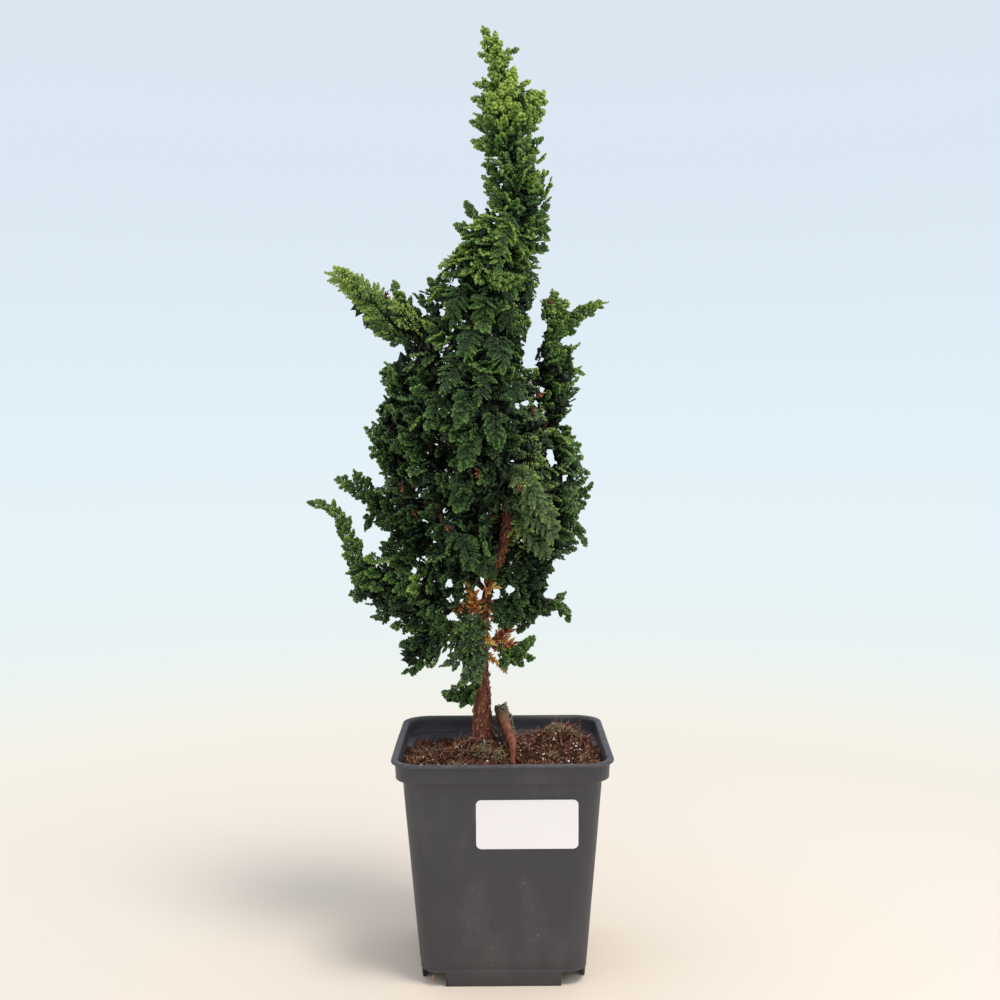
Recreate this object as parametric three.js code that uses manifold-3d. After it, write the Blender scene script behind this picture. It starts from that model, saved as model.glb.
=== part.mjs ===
// Hinoki cypress bonsai, a young dwarf tree in a square plastic nursery pot. Millimetres, +Z up.
// The pot stands on the four skirts of its base at z = 0. Inside it is the root ball of bark and peat,
// which the trunk, one surface root and a dead stub grow out of. Branches leave the trunk, and each
// carries one or more masses of scale-leaved sprays, modelled here as plain solids of their outer shape.
// The front, with the label, faces -Y.
import * as THREE from "three";
import { mergeVertices } from "three/addons/utils/BufferGeometryUtils.js";
import Module from "manifold-3d";

const wasm = await Module();
wasm.setup();

// ---- Driving dimensions ----
const SEAT_GAP = 0.3; // between two pieces that touch
const CUT_PAST = 12; // how far a cutting block reaches past what it cuts

const POT = {
  height: 115,
  wall: 1.4,
  lipHalf: 55,
  lipThickness: 1.8,
  collarHalf: 53.2, // the collar under the lip, at its top
  collarDraft: 0.4, // and how much narrower it is at its bottom
  collarBottom: 106.5, // where the collar steps in to the tapered wall
  wallHalfTop: 49.6, // half width of the tapered wall at the step
  wallHalfBase: 41,
  cornerRadius: 12, // of the wall at the step
  collarCornerRadius: 14,
  lipCornerRadius: 15,
  floorTop: 9.6,
  skirtHalfWidth: 28.5, // each side's foot; the corners between them are cut away to drain
  notchHeight: 6.5,
  drainHoleRadius: 4.5,
  drainHoleOffset: 29,
};
const LABEL = { width: 50, height: 25, thickness: 0.3, cornerRadius: 2.6, centreX: 12, centreZ: 84 };
const SOIL = {
  level: 105.5,
  gridCells: 16,
  // [x, y, height, radius] of each rise or hollow in the surface
  mounds: [
    [-10, 7, 8.5, 12],
    [31, 29, 9.5, 8],
    [18, 8, 3, 13],
    [-30, 33, -6.5, 13],
    [4, -6, 3, 9],
    [-33, -12, 1.5, 10],
  ],
};

// ---- Solids from three.js geometry ----
function solidOf(geometry) {
  const plain = geometry.index ? geometry.toNonIndexed() : geometry.clone();
  plain.deleteAttribute("normal");
  plain.deleteAttribute("uv");
  const merged = mergeVertices(plain, 1e-3);
  return new wasm.Manifold(
    new wasm.Mesh({
      numProp: 3,
      vertProperties: merged.attributes.position.array,
      triVerts: new Uint32Array(merged.index.array),
    }),
  );
}

function geometryOf(solid) {
  const mesh = solid.getMesh();
  const geometry = new THREE.BufferGeometry();
  geometry.setAttribute("position", new THREE.BufferAttribute(mesh.vertProperties, 3));
  geometry.setIndex(new THREE.BufferAttribute(mesh.triVerts, 1));
  return geometry;
}

// The largest piece that a cut leaves, without the crumbs beside it.
function largestBody(solid) {
  const bodies = solid.decompose();
  return bodies.reduce((a, b) => (b.volume() > a.volume() ? b : a));
}

function roundedSquare(half, radius) {
  const straight = half - radius;
  const shape = new THREE.Shape();
  shape.absarc(straight, -straight, radius, -Math.PI / 2, 0);
  shape.absarc(straight, straight, radius, 0, Math.PI / 2);
  shape.absarc(-straight, straight, radius, Math.PI / 2, Math.PI);
  shape.absarc(-straight, -straight, radius, Math.PI, 1.5 * Math.PI);
  return shape;
}

// A block with a rounded square section that widens evenly from its bottom to its top.
function taperedBlock(bottomHalf, topHalf, bottom, top, radius) {
  const geometry = new THREE.ExtrudeGeometry(roundedSquare(bottomHalf, radius), {
    depth: top - bottom,
    bevelEnabled: false,
    curveSegments: 3,
  });
  const position = geometry.attributes.position;
  for (let i = 0; i < position.count; i++) {
    const share = position.getZ(i) / (top - bottom);
    const widening = 1 + (topHalf / bottomHalf - 1) * share;
    position.setXY(i, position.getX(i) * widening, position.getY(i) * widening);
  }
  geometry.translate(0, 0, bottom);
  return solidOf(geometry);
}

function cuboid(low, high) {
  const size = high.map((value, axis) => value - low[axis]);
  const geometry = new THREE.BoxGeometry(...size);
  geometry.translate(...low.map((value, axis) => value + size[axis] / 2));
  return solidOf(geometry);
}

// Half width of the tapered wall's outside at a height.
function wallHalf(z) {
  return POT.wallHalfBase + ((POT.wallHalfTop - POT.wallHalfBase) * z) / POT.collarBottom;
}

// A block that keeps an even distance inside the tapered wall's outside.
function wallBlock(inset, bottom, top) {
  const radius = (POT.cornerRadius * POT.wallHalfBase) / POT.wallHalfTop - inset;
  return taperedBlock(wallHalf(bottom) - inset, wallHalf(top) - inset, bottom, top, radius);
}

// A limb: a lathed spindle whose stations are laid along a curve. radii are spread evenly along it.
// roundness draws its two ends in, depthShare squeezes it in depth, and lumps swells it unevenly.
function limb({ path, radii, sides, stations, roundness = 0, depthShare = 1, lumps = 0 }, grow = 0) {
  const curve = new THREE.CatmullRomCurve3(path.map((p) => new THREE.Vector3(...p)));
  const shareOf = (station) =>
    roundness > 0 ? (1 - Math.cos((Math.PI * station) / stations)) / 2 : station / stations;
  const radiusAt = (share) => {
    const place = share * (radii.length - 1);
    const low = Math.min(Math.floor(place), radii.length - 2);
    const drawnIn = Math.sqrt(1 - roundness * Math.abs(2 * share - 1) ** 3);
    return THREE.MathUtils.lerp(radii[low], radii[low + 1], place - low) * drawnIn + grow;
  };
  const profile = [new THREE.Vector2(0, 0)];
  for (let i = 0; i <= stations; i++) profile.push(new THREE.Vector2(radiusAt(shareOf(i)), i));
  profile.push(new THREE.Vector2(0, stations));
  const geometry = new THREE.LatheGeometry(profile, sides);
  const position = geometry.attributes.position;
  const depth = new THREE.Vector3(0, 1, 0);
  for (let i = 0; i < position.count; i++) {
    const station = Math.round(position.getY(i));
    const along = curve.getTangentAt(shareOf(station));
    const across = depth.clone().addScaledVector(along, -along.dot(depth)).normalize();
    const aside = new THREE.Vector3().crossVectors(across, along);
    const angle = Math.atan2(position.getZ(i), position.getX(i));
    const swell = 1 + lumps * Math.sin(3 * angle + 1.9 * station);
    const point = curve.getPointAt(shareOf(station));
    point.addScaledVector(across, position.getX(i) * swell * depthShare);
    point.addScaledVector(aside, position.getZ(i) * swell);
    if (station === 0) point.addScaledVector(along, -grow);
    if (station === stations) point.addScaledVector(along, grow);
    position.setXYZ(i, point.x, point.y, point.z);
  }
  return solidOf(geometry);
}

// ---- Pot ----
// One injection-moulded shell: lip, collar, tapered wall, raised floor with drain holes, and skirts.
function makePot() {
  const { height, wall, collarHalf, collarBottom, floorTop } = POT;
  const collarBase = collarHalf - POT.collarDraft;
  const outside = [
    wallBlock(0, 0, collarBottom),
    taperedBlock(collarBase, collarHalf, collarBottom - wall, height, POT.collarCornerRadius),
    taperedBlock(POT.lipHalf, POT.lipHalf, height - POT.lipThickness, height, POT.lipCornerRadius),
  ].reduce((a, b) => a.add(b));
  const collarHollow = taperedBlock(
    collarBase - wall,
    collarHalf - wall,
    collarBottom,
    height + CUT_PAST,
    POT.collarCornerRadius - wall,
  );
  const hollow = wallBlock(wall, floorTop, height + CUT_PAST);
  const recess = wallBlock(wall, -CUT_PAST, floorTop - wall);
  let pot = outside.subtract(hollow).subtract(collarHollow).subtract(recess);
  const far = POT.lipHalf + CUT_PAST;
  for (const sideX of [-1, 1]) {
    for (const sideY of [-1, 1]) {
      const near = POT.skirtHalfWidth;
      const xs = [sideX * near, sideX * far].sort((a, b) => a - b);
      const ys = [sideY * near, sideY * far].sort((a, b) => a - b);
      pot = pot.subtract(cuboid([xs[0], ys[0], -CUT_PAST], [xs[1], ys[1], POT.notchHeight]));
      const hole = new THREE.CylinderGeometry(POT.drainHoleRadius, POT.drainHoleRadius, 4 * wall, 12);
      hole.rotateX(Math.PI / 2);
      hole.translate(sideX * POT.drainHoleOffset, sideY * POT.drainHoleOffset, floorTop - wall / 2);
      pot = pot.subtract(solidOf(hole));
    }
  }
  return pot;
}

// ---- Label ----
// A blank paper sticker on the front wall, leaning with the wall's taper.
function makeLabel() {
  const { width, height, thickness, cornerRadius: r } = LABEL;
  const [x, y] = [width / 2 - r, height / 2 - r];
  const shape = new THREE.Shape();
  shape.absarc(x, -y, r, -Math.PI / 2, 0);
  shape.absarc(x, y, r, 0, Math.PI / 2);
  shape.absarc(-x, y, r, Math.PI / 2, Math.PI);
  shape.absarc(-x, -y, r, Math.PI, 1.5 * Math.PI);
  const extrusion = { depth: thickness, bevelEnabled: false, curveSegments: 3 };
  const geometry = new THREE.ExtrudeGeometry(shape, extrusion);
  const lean = Math.atan((POT.wallHalfTop - POT.wallHalfBase) / POT.collarBottom);
  geometry.translate(0, 0, SEAT_GAP / 2);
  geometry.rotateX(Math.PI / 2 + lean);
  geometry.translate(LABEL.centreX, -wallHalf(LABEL.centreZ), LABEL.centreZ);
  return solidOf(geometry);
}

// ---- Soil ----
// The root ball fills the pot's hollow, with a lumpy top that the trunk stands in.
function soilHeight(x, y) {
  const ripple = 0.6 * Math.sin(0.31 * x + 0.17 * y) * Math.cos(0.23 * y - 0.11 * x);
  return SOIL.mounds.reduce(
    (height, [moundX, moundY, rise, radius]) =>
      height + rise * Math.exp(-((x - moundX) ** 2 + (y - moundY) ** 2) / (2 * radius ** 2)),
    SOIL.level + ripple,
  );
}

function makeSoil() {
  const filling = wallBlock(POT.wall + SEAT_GAP, POT.floorTop + SEAT_GAP, POT.height + CUT_PAST);
  const span = 2 * POT.lipHalf;
  const block = new THREE.BoxGeometry(span, span, 2, SOIL.gridCells, SOIL.gridCells, 1);
  const position = block.attributes.position;
  for (let i = 0; i < position.count; i++) {
    const isTop = position.getZ(i) > 0;
    position.setZ(i, isTop ? soilHeight(position.getX(i), position.getY(i)) : 0);
  }
  return filling.intersect(solidOf(block));
}

// ---- Wood ----
const TRUNK = {
  path: [
    [-10, 8, 97],
    [-10.5, 6, 118],
    [-10.5, 5, 135],
    [-10.5, 3, 161],
    [-9.5, 2, 182],
    [-6, 0, 195],
    [-1.3, -3, 209.5],
    [3.5, -4, 221.5],
    [4, -4, 233.5],
    [2, -2, 245],
    [-3.5, 2, 265.5],
    [-9.5, 4, 291],
    [-13, 4, 317],
    [-10.5, 2, 340],
    [-5, 0, 352],
    [0, -2, 363],
    [5, -2, 376],
    [9, -1, 392],
    [11, 0, 412.5],
    [11.5, 0, 430],
    [10, 0, 443],
    [5, 0, 455],
  ],
  radii: [7.4, 5.4, 4.4, 4, 3.7, 3, 2.6, 2.5, 2.4, 2.2, 2, 1.8, 1.6, 1.5, 1.3, 1.1, 0.9, 0.7],
  sides: 8,
  stations: 30,
};

// Each branch starts inside what it grows from, and is cut back to that surface.
const BRANCHES = {
  branch_left_low: {
    path: [
      [-10.5, 2, 161], [-22, -2, 171], [-38, -4, 181], [-53, -5, 187], [-65, -4, 197],
      [-71.5, -3, 208], [-76, -2, 218], [-79, -1, 226], [-83, -1, 233],
    ],
    radii: [2.1, 1.9, 1.5, 1, 0.6],
  },
  branch_left_second: {
    path: [[-7, 2, 192], [-24, 7, 206], [-45, 8, 221], [-63, 7, 238], [-77, 6, 247]],
    radii: [1.6, 1.3, 0.9, 0.5],
  },
  branch_inner_left: {
    path: [
      [-10, 2, 176], [-15, 0, 189], [-19, -2, 203], [-27, -9, 222], [-33, -14, 245],
      [-36, -14, 272],
    ],
    radii: [2.3, 2, 1.6, 1.2, 0.8],
  },
  branch_right_low: {
    path: [
      [-9, 2, 163], [-2, -1, 168], [2, -2, 173], [6, -2, 178.5], [14, -1, 186], [24, 0, 188],
      [32, 0, 185],
    ],
    radii: [2, 1.8, 1.5, 1.1, 0.6],
  },
  branch_right_mid: {
    path: [[3.5, -4, 222], [14, -2, 226], [25, -1, 233], [31, -1, 243], [31, 0, 260]],
    radii: [1.7, 1.3, 1, 0.7],
  },
  branch_right_front: {
    path: [[4, -4, 229], [10, -12, 235], [15, -18, 246], [15, -19, 264]],
    radii: [1.5, 1.1, 0.7],
  },
  branch_right_back: {
    path: [[3.5, -3, 236], [9, 7, 240], [17, 17, 248], [19, 18, 266]],
    radii: [1.5, 1.1, 0.7],
  },
  branch_right_column: {
    path: [[2.5, -2, 243], [12, 2, 254], [21, 4, 270], [26, 3, 290], [29, 2, 312], [29, 1, 332]],
    radii: [1.8, 1.5, 1.1, 0.8, 0.5],
  },
  branch_right_tip: {
    path: [[28, 2, 315], [32, 1, 328], [40, 0, 335.5], [49, 0, 340]],
    radii: [0.9, 0.7, 0.4],
  },
  branch_left_mid: {
    path: [[-3.5, 2, 265], [-18, 3, 266], [-36, 2, 272], [-50, 3, 286]],
    radii: [1.7, 1.3, 1, 0.7],
  },
  branch_wing_left: {
    path: [
      [-9.5, 4, 291], [-24, 3, 303], [-37, 1, 318], [-51, 0, 328], [-64, 0, 338], [-77, 0, 351],
    ],
    radii: [1.8, 1.4, 1, 0.5],
  },
  branch_wing_small: {
    path: [[-41, 1, 321], [-47, 7, 333], [-50, 9, 343]],
    radii: [0.9, 0.7, 0.4],
  },
  branch_front_low: {
    path: [[-2.5, -2, 205], [-10, -12, 213], [-19, -19, 218], [-24, -20, 208]],
    radii: [1.4, 1, 0.6],
  },
  branch_front_mid: {
    path: [[2, -2, 246], [-4, -12, 252], [-9, -23, 262], [-11, -26, 280]],
    radii: [1.6, 1.2, 0.7],
  },
  branch_front_high: {
    path: [[-12.5, 4, 312], [-13, -8, 320], [-11, -16, 333], [-9, -16, 348]],
    radii: [1.4, 1, 0.6],
  },
  branch_back_low: {
    path: [[-1, -3, 210], [0, 9, 214], [-1, 20, 222]],
    radii: [1.5, 1.1, 0.6],
  },
  branch_back_mid: {
    path: [[-3.5, 2, 266], [-5, 14, 273], [-8, 25, 290]],
    radii: [1.6, 1.2, 0.7],
  },
  branch_back_high: {
    path: [[-11.5, 3, 330], [-8, 12, 337], [-3, 17, 350]],
    radii: [1.4, 1, 0.6],
  },
  branch_shoulder_left: {
    path: [[-11, 2, 335], [-22, 3, 340], [-34, 4, 345]],
    radii: [1.2, 0.9, 0.5],
  },
};

const SURFACE_ROOT = {
  path: [[0, 0, 129], [1.5, -6, 124.5], [4.2, -12, 117], [5.8, -17, 111.5], [6.8, -21, 106], [7, -23, 99]],
  radii: [2.1, 2.2, 2, 1.8],
  sides: 7,
  stations: 9,
};
const ROOT_STUB = {
  path: [[3, 3, 101], [2.5, 2.5, 112], [0.8, 2, 122], [-0.8, 2, 132]],
  radii: [5, 4.6, 4.2, 3.4],
  sides: 9,
  stations: 6,
  lumps: 0.12,
};

// ---- Foliage ----
// Masses of sprays, each round its own branch or shoot. radii run from the path's first point to its last.
const FOLIAGE = {
  foliage_apex: {
    path: [[-5.5, 0, 480], [-1, 0, 463], [5, 0, 446], [7, 0, 424]],
    radii: [6, 10, 17, 19],
  },
  foliage_spire: {
    path: [[6, 0, 440], [6.5, 0, 419], [9.5, 0, 399], [7, 0, 383], [5, 0, 368]],
    radii: [16, 17, 16, 18, 20],
  },
  foliage_upper_front: {
    path: [[8, -6, 388], [-2, -12, 367], [-12, -16, 346], [-14, -18, 322]],
    radii: [14, 22, 25, 24],
    depthShare: 0.85,
  },
  foliage_upper_back: {
    path: [[7, 8, 388], [4, 13, 369], [-1, 17, 350], [-7, 19, 322]],
    radii: [14, 22, 26, 24],
    depthShare: 0.85,
  },
  foliage_shoulder_left: {
    path: [[-14, 2, 336], [-27, 3, 344], [-41, 4, 347]],
    radii: [14, 13, 8],
  },
  foliage_wing_left: {
    path: [[-87, 0, 359], [-75, 0, 349], [-64, 0, 338], [-50, 0, 328], [-30, 1, 315]],
    radii: [6, 9.5, 12.5, 16, 17],
  },
  foliage_wing_small: {
    path: [[-54, 10, 352], [-49, 9, 341], [-42, 8, 328]],
    radii: [6, 9, 9],
  },
  foliage_centre_front: {
    path: [[-10, -16, 336], [-12, -24, 306], [-11, -27, 276], [-5, -20, 236]],
    radii: [22, 26, 27, 22],
    depthShare: 0.8,
  },
  foliage_centre_back: {
    path: [[-7, 18, 337], [-8, 24, 303], [-4, 26, 271], [1, 21, 230]],
    radii: [22, 27, 27, 22],
    depthShare: 0.8,
  },
  foliage_left_inner: {
    path: [[-27, -6, 332], [-36, -14, 299], [-38, -17, 269], [-30, -14, 230]],
    radii: [15, 18, 19, 17],
  },
  foliage_left_mid: {
    path: [[-45, 4, 328], [-49, 4, 297], [-53, 3, 269], [-51, 3, 240], [-41, 2, 217]],
    radii: [12, 17, 19, 17, 13],
    depthShare: 1.3,
  },
  foliage_right_column: {
    path: [[26.5, 1, 351], [29, 2, 328], [29.5, 3, 304], [27, 3, 268]],
    radii: [8, 12.5, 14, 14.5],
    depthShare: 1.2,
  },
  foliage_right_tip: {
    path: [[54, 0, 342.5], [46, 0, 339], [38, 1, 334.5], [31, 1, 325]],
    radii: [4, 6, 8, 9],
  },
  foliage_right_mid: {
    path: [[29, 3, 289], [32, 0, 261], [32, -2, 237], [23, -3, 205]],
    radii: [14, 17, 18.5, 16],
    depthShare: 1.3,
  },
  foliage_right_front: {
    path: [[11, -12, 300], [14, -19, 271], [16, -21, 246], [19, -17, 213]],
    radii: [13, 17, 17.5, 15],
    depthShare: 0.9,
  },
  foliage_right_back: {
    path: [[15, 14, 298], [19, 18, 265], [20, 20, 236], [14, 15, 201]],
    radii: [14, 18, 19, 15],
  },
  foliage_right_low: {
    path: [[1, 2, 206], [12, 2, 196], [22, 0, 190], [35, 0, 185]],
    radii: [12, 17, 17, 9],
    depthShare: 1.1,
  },
  foliage_right_low_tip: {
    path: [[21, 0, 176], [30, 0, 179], [40, 0, 181]],
    radii: [7, 7.5, 5],
  },
  foliage_left_low: {
    path: [[-16, -3, 197], [-38, -5, 190], [-56, -5, 193], [-76, -4, 208]],
    radii: [14, 17.5, 18.5, 15],
    depthShare: 1.1,
  },
  foliage_left_low_tip: {
    path: [[-101, 0, 243], [-91, 0, 237.5], [-82, -1, 231], [-77, -2, 220], [-69, -3, 203]],
    radii: [4.5, 6, 8, 10, 13],
  },
  foliage_left_second: {
    path: [[-87, 6, 255], [-76, 6, 247], [-64, 7, 238], [-50, 8, 226], [-32, 8, 212]],
    radii: [5, 8, 11, 15, 17],
  },
  foliage_left_bottom: {
    path: [[-51, -2, 151], [-43, -3, 163], [-30, -3, 177]],
    radii: [9, 11.5, 12],
  },
  foliage_front_low: {
    path: [[-15, -14, 246], [-21, -20, 219], [-26, -17, 189]],
    radii: [16, 18, 15],
  },
  foliage_back_low: {
    path: [[1, 19, 243], [-1, 22, 215], [-5, 17, 190]],
    radii: [17, 19, 14],
  },
  foliage_trunk_side: {
    path: [[-22, -2, 184], [-19, -3, 166], [-15, -2, 147]],
    radii: [8, 8.5, 8],
  },
  foliage_low_sprig: {
    path: [[-12, 3, 140], [-20, 0, 139.5], [-31, -1, 137]],
    radii: [5, 8, 7],
  },
  foliage_right_sprig: {
    path: [[-8, 1, 159], [6, -5, 163], [20, -5, 161]],
    radii: [6, 9, 9],
  },
  dead_spray_left: {
    path: [[-12, 1, 184], [-20, -1, 186], [-29, -2, 185]],
    radii: [2.5, 3.2, 2],
    dead: true,
  },
  dead_spray_fork: {
    path: [[-13.5, 0, 186], [-17, -1, 194], [-19, -2, 204]],
    radii: [4, 4.4, 4],
    dead: true,
  },
  dead_spray_right: {
    path: [[-1, -2, 169], [3, -2.5, 175], [7, -2.5, 181]],
    radii: [4, 4.8, 4],
    dead: true,
  },
  dead_spray_low: {
    path: [[-8, 2, 159], [-3, -2, 156], [3, -4, 151]],
    radii: [2, 2.6, 2],
    dead: true,
  },
};

// ---- Materials ----
const COLOURS = {
  plastic: { color: 0x45444a, roughness: 0.55 },
  paper: { color: 0xf4eef0, roughness: 0.7 },
  soil: { color: 0x5a3a28, roughness: 1 },
  bark: { color: 0x74402c, roughness: 0.9 },
  root: { color: 0x8a4f32, roughness: 0.85 },
  lichen: { color: 0x6e6a58, roughness: 0.95 },
  leaf: { color: 0x2f5a2c, roughness: 0.6 },
  deadLeaf: { color: 0xb0702a, roughness: 0.8 },
};

// ---- Assembly ----
const tree = new THREE.Group();

function addPiece(name, solid, colour) {
  const material = new THREE.MeshStandardMaterial({ ...COLOURS[colour], metalness: 0 });
  const mesh = new THREE.Mesh(geometryOf(solid), material);
  mesh.name = name;
  tree.add(mesh);
}

function boxesMeet(a, b) {
  const [boxA, boxB] = [a.boundingBox(), b.boundingBox()];
  return [0, 1, 2].every((axis) => boxA.min[axis] < boxB.max[axis] && boxB.min[axis] < boxA.max[axis]);
}

addPiece("pot", makePot(), "plastic");
addPiece("label", makeLabel(), "paper");

// Each limb keeps its own solid and the same one grown by the seat gap, which cuts whatever meets it.
const grown = { trunk: limb(TRUNK, SEAT_GAP) };
addPiece("trunk", limb(TRUNK), "bark");

const stub = limb(ROOT_STUB).subtract(grown.trunk);
grown.root_stub = limb(ROOT_STUB, SEAT_GAP);
addPiece("root_stub", stub, "lichen");

const root = largestBody(limb(SURFACE_ROOT).subtract(grown.root_stub).subtract(grown.trunk));
grown.surface_root = limb(SURFACE_ROOT, SEAT_GAP);
addPiece("surface_root", root, "root");

const soil = ["trunk", "root_stub", "surface_root"].reduce(
  (rest, name) => rest.subtract(grown[name]),
  makeSoil(),
);
addPiece("soil", largestBody(soil), "soil");

// Adds a limb as it is left when everything before it has been cut out of it.
function addLimb(name, shape, colour) {
  const whole = limb(shape);
  const others = Object.values(grown).filter((other) => boxesMeet(whole, other));
  addPiece(name, largestBody(others.reduce((rest, other) => rest.subtract(other), whole)), colour);
  grown[name] = limb(shape, SEAT_GAP);
}

for (const [name, branch] of Object.entries(BRANCHES)) {
  addLimb(name, { sides: 6, stations: 2 * branch.path.length, ...branch }, "bark");
}
for (const [name, { dead, ...mass }] of Object.entries(FOLIAGE)) {
  const finish = dead ? { sides: 6, stations: 5 } : { sides: 10, stations: 7, lumps: 0.06 };
  addLimb(name, { ...finish, roundness: 0.9, ...mass }, dead ? "deadLeaf" : "leaf");
}

// The origin is the middle of the whole object's footprint, on the surface it stands on.
const bounds = new THREE.Box3().setFromObject(tree);
tree.position.set(-(bounds.min.x + bounds.max.x) / 2, -(bounds.min.y + bounds.max.y) / 2, 0);

export default tree;
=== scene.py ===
import math

import bmesh
import bpy
import numpy as np
from mathutils import Matrix, Vector, noise
from mathutils.bvhtree import BVHTree
from mathutils.kdtree import KDTree


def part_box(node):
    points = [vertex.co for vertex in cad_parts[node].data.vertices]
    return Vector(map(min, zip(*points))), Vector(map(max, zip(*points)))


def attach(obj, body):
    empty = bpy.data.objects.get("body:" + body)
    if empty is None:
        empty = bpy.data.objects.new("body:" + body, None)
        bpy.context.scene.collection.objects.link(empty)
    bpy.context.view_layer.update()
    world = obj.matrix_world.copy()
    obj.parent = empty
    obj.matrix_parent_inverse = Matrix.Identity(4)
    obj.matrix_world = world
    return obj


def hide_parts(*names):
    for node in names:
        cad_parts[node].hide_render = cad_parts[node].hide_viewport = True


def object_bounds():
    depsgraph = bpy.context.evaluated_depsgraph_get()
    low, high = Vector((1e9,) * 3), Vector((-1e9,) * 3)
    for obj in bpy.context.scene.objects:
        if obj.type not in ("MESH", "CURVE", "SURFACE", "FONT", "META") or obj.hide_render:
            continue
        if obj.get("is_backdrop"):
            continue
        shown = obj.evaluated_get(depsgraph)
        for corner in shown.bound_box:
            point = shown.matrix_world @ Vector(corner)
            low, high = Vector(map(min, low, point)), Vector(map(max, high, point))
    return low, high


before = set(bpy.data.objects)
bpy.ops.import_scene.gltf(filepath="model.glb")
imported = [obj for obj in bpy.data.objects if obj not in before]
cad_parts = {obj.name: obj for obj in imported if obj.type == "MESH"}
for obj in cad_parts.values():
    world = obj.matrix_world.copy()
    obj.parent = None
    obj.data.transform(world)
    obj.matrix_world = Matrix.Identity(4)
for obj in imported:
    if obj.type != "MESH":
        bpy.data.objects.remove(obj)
cad_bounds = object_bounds()


# ---- Studio ----
# A round sweep of pale card: a warm white floor that curves up into a cool white wall. The wall glows, so
# the light is soft from every side, and a wide lamp overhead gives the tops their shine. None of it is the
# object.
MM = 0.001
pot_low, pot_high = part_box("pot")
POT_X = (pot_low.x + pot_high.x) / 2
POT_Y = (pot_low.y + pot_high.y) / 2
HEART = np.array([POT_X / MM, POT_Y / MM, 0])


class Link:
    """One output of a node. Sums and products with it add Math nodes."""

    def __init__(self, graph, socket):
        self.graph = graph
        self.socket = socket

    def out(self, name):
        """Another output of the same node."""
        return Link(self.graph, find_socket(self.socket.node.outputs, name))

    def __add__(self, other):
        return self.graph.maths("ADD", self, other)

    def __mul__(self, other):
        return self.graph.maths("MULTIPLY", self, other)

    def __sub__(self, other):
        return self.graph.maths("SUBTRACT", self, other)

    def __rsub__(self, other):
        return self.graph.maths("SUBTRACT", other, self)

    def __pow__(self, other):
        return self.graph.maths("POWER", self, other)

    __radd__ = __add__
    __rmul__ = __mul__


def find_socket(sockets, key):
    """A socket by its index, its identifier or its name."""
    if isinstance(key, int):
        return sockets[key]
    return next(s for s in sockets if key in (s.identifier, s.name))


class Graph:
    """A node tree that is being written."""

    def __init__(self, tree):
        self.tree = tree
        tree.nodes.clear()

    def node(self, kind, settings=None, values=None, output=0):
        """Adds a node, makes its settings, then gives its inputs their values or links."""
        made = self.tree.nodes.new(kind)
        for name, setting in (settings or {}).items():
            if name == "stops":
                self.set_stops(made.color_ramp.elements, setting)
            else:
                setattr(made, name, setting)
        for key, value in (values or {}).items():
            socket = find_socket(made.inputs, key)
            if isinstance(value, Link):
                self.tree.links.new(value.socket, socket)
            else:
                socket.default_value = value
        return Link(self, find_socket(made.outputs, output)) if made.outputs else None

    def set_stops(self, elements, stops):
        while len(elements) < len(stops):
            elements.new(1.0)
        for element, (place, colour) in zip(elements, stops):
            element.position = place
            element.color = (*colour, 1)

    def maths(self, operation, *values):
        return self.node("ShaderNodeMath", {"operation": operation}, dict(enumerate(values)))

    def vector_maths(self, operation, *values, **more):
        values = {**dict(enumerate(values)), **more}
        return self.node("ShaderNodeVectorMath", {"operation": operation}, values)

    def split(self, vector):
        """A vector's X, with its Y and Z as the node's other outputs."""
        return self.node("ShaderNodeSeparateXYZ", values={"Vector": vector})

    def clamp(self, value, low=0.0, high=1.0):
        return self.node("ShaderNodeClamp", values={"Value": value, "Min": low, "Max": high})

    def step(self, value, low, high):
        """0 below low, 1 above high, and smooth between them."""
        settings = {"interpolation_type": "SMOOTHSTEP"}
        return self.node("ShaderNodeMapRange", settings, {"Value": value, "From Min": low, "From Max": high})

    def ramp(self, value, *stops):
        return self.node("ShaderNodeValToRGB", {"stops": stops}, {"Fac": value})

    def blend(self, share, first, second):
        """Goes from the first colour to the second as share goes from 0 to 1."""
        ends = [c if isinstance(c, Link) else (*c, 1) for c in (first, second)]
        values = {"Factor_Float": share, "A_Color": ends[0], "B_Color": ends[1]}
        return self.node("ShaderNodeMix", {"data_type": "RGBA"}, values, "Result_Color")

    def object_place(self, stretch=(1, 1, 1)):
        place = self.node("ShaderNodeTexCoord", output="Object")
        return self.node("ShaderNodeMapping", values={"Vector": place, "Scale": stretch})

    def grain(self, per_metre, detail=2.0, roughness=0.5, at=None):
        """Noise from 0 to 1, with so many waves to a metre."""
        at = at or self.object_place()
        values = {"Vector": at, "Scale": per_metre, "Detail": detail, "Roughness": roughness}
        return self.node("ShaderNodeTexNoise", values=values)

    def attribute(self, name, output="Fac"):
        return self.node("ShaderNodeAttribute", {"attribute_name": name}, output=output)

    def surface(self, colour, roughness, height=None, relief=0.1 * MM, specular=0.5):
        """A Principled surface. height, from 0 to 1, becomes a bump as deep as relief."""
        values = {"Base Color": colour, "Roughness": roughness, "Specular IOR Level": specular}
        if height is not None:
            bump = {"Height": height, "Strength": 1.0, "Distance": relief}
            values["Normal"] = self.node("ShaderNodeBump", values=bump)
        return self.node("ShaderNodeBsdfPrincipled", values=values)

    def finish_with(self, shader):
        self.node("ShaderNodeOutputMaterial", values={"Surface": shader})


def new_finish(name):
    material = bpy.data.materials.new(name)
    material.use_nodes = True
    return material, Graph(material.node_tree)


def srgb(red, green, blue):
    """A screen colour, 0 to 255, as the linear one that shaders take."""
    return tuple(((c / 255 + 0.055) / 1.055) ** 2.4 for c in (red, green, blue))


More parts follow.
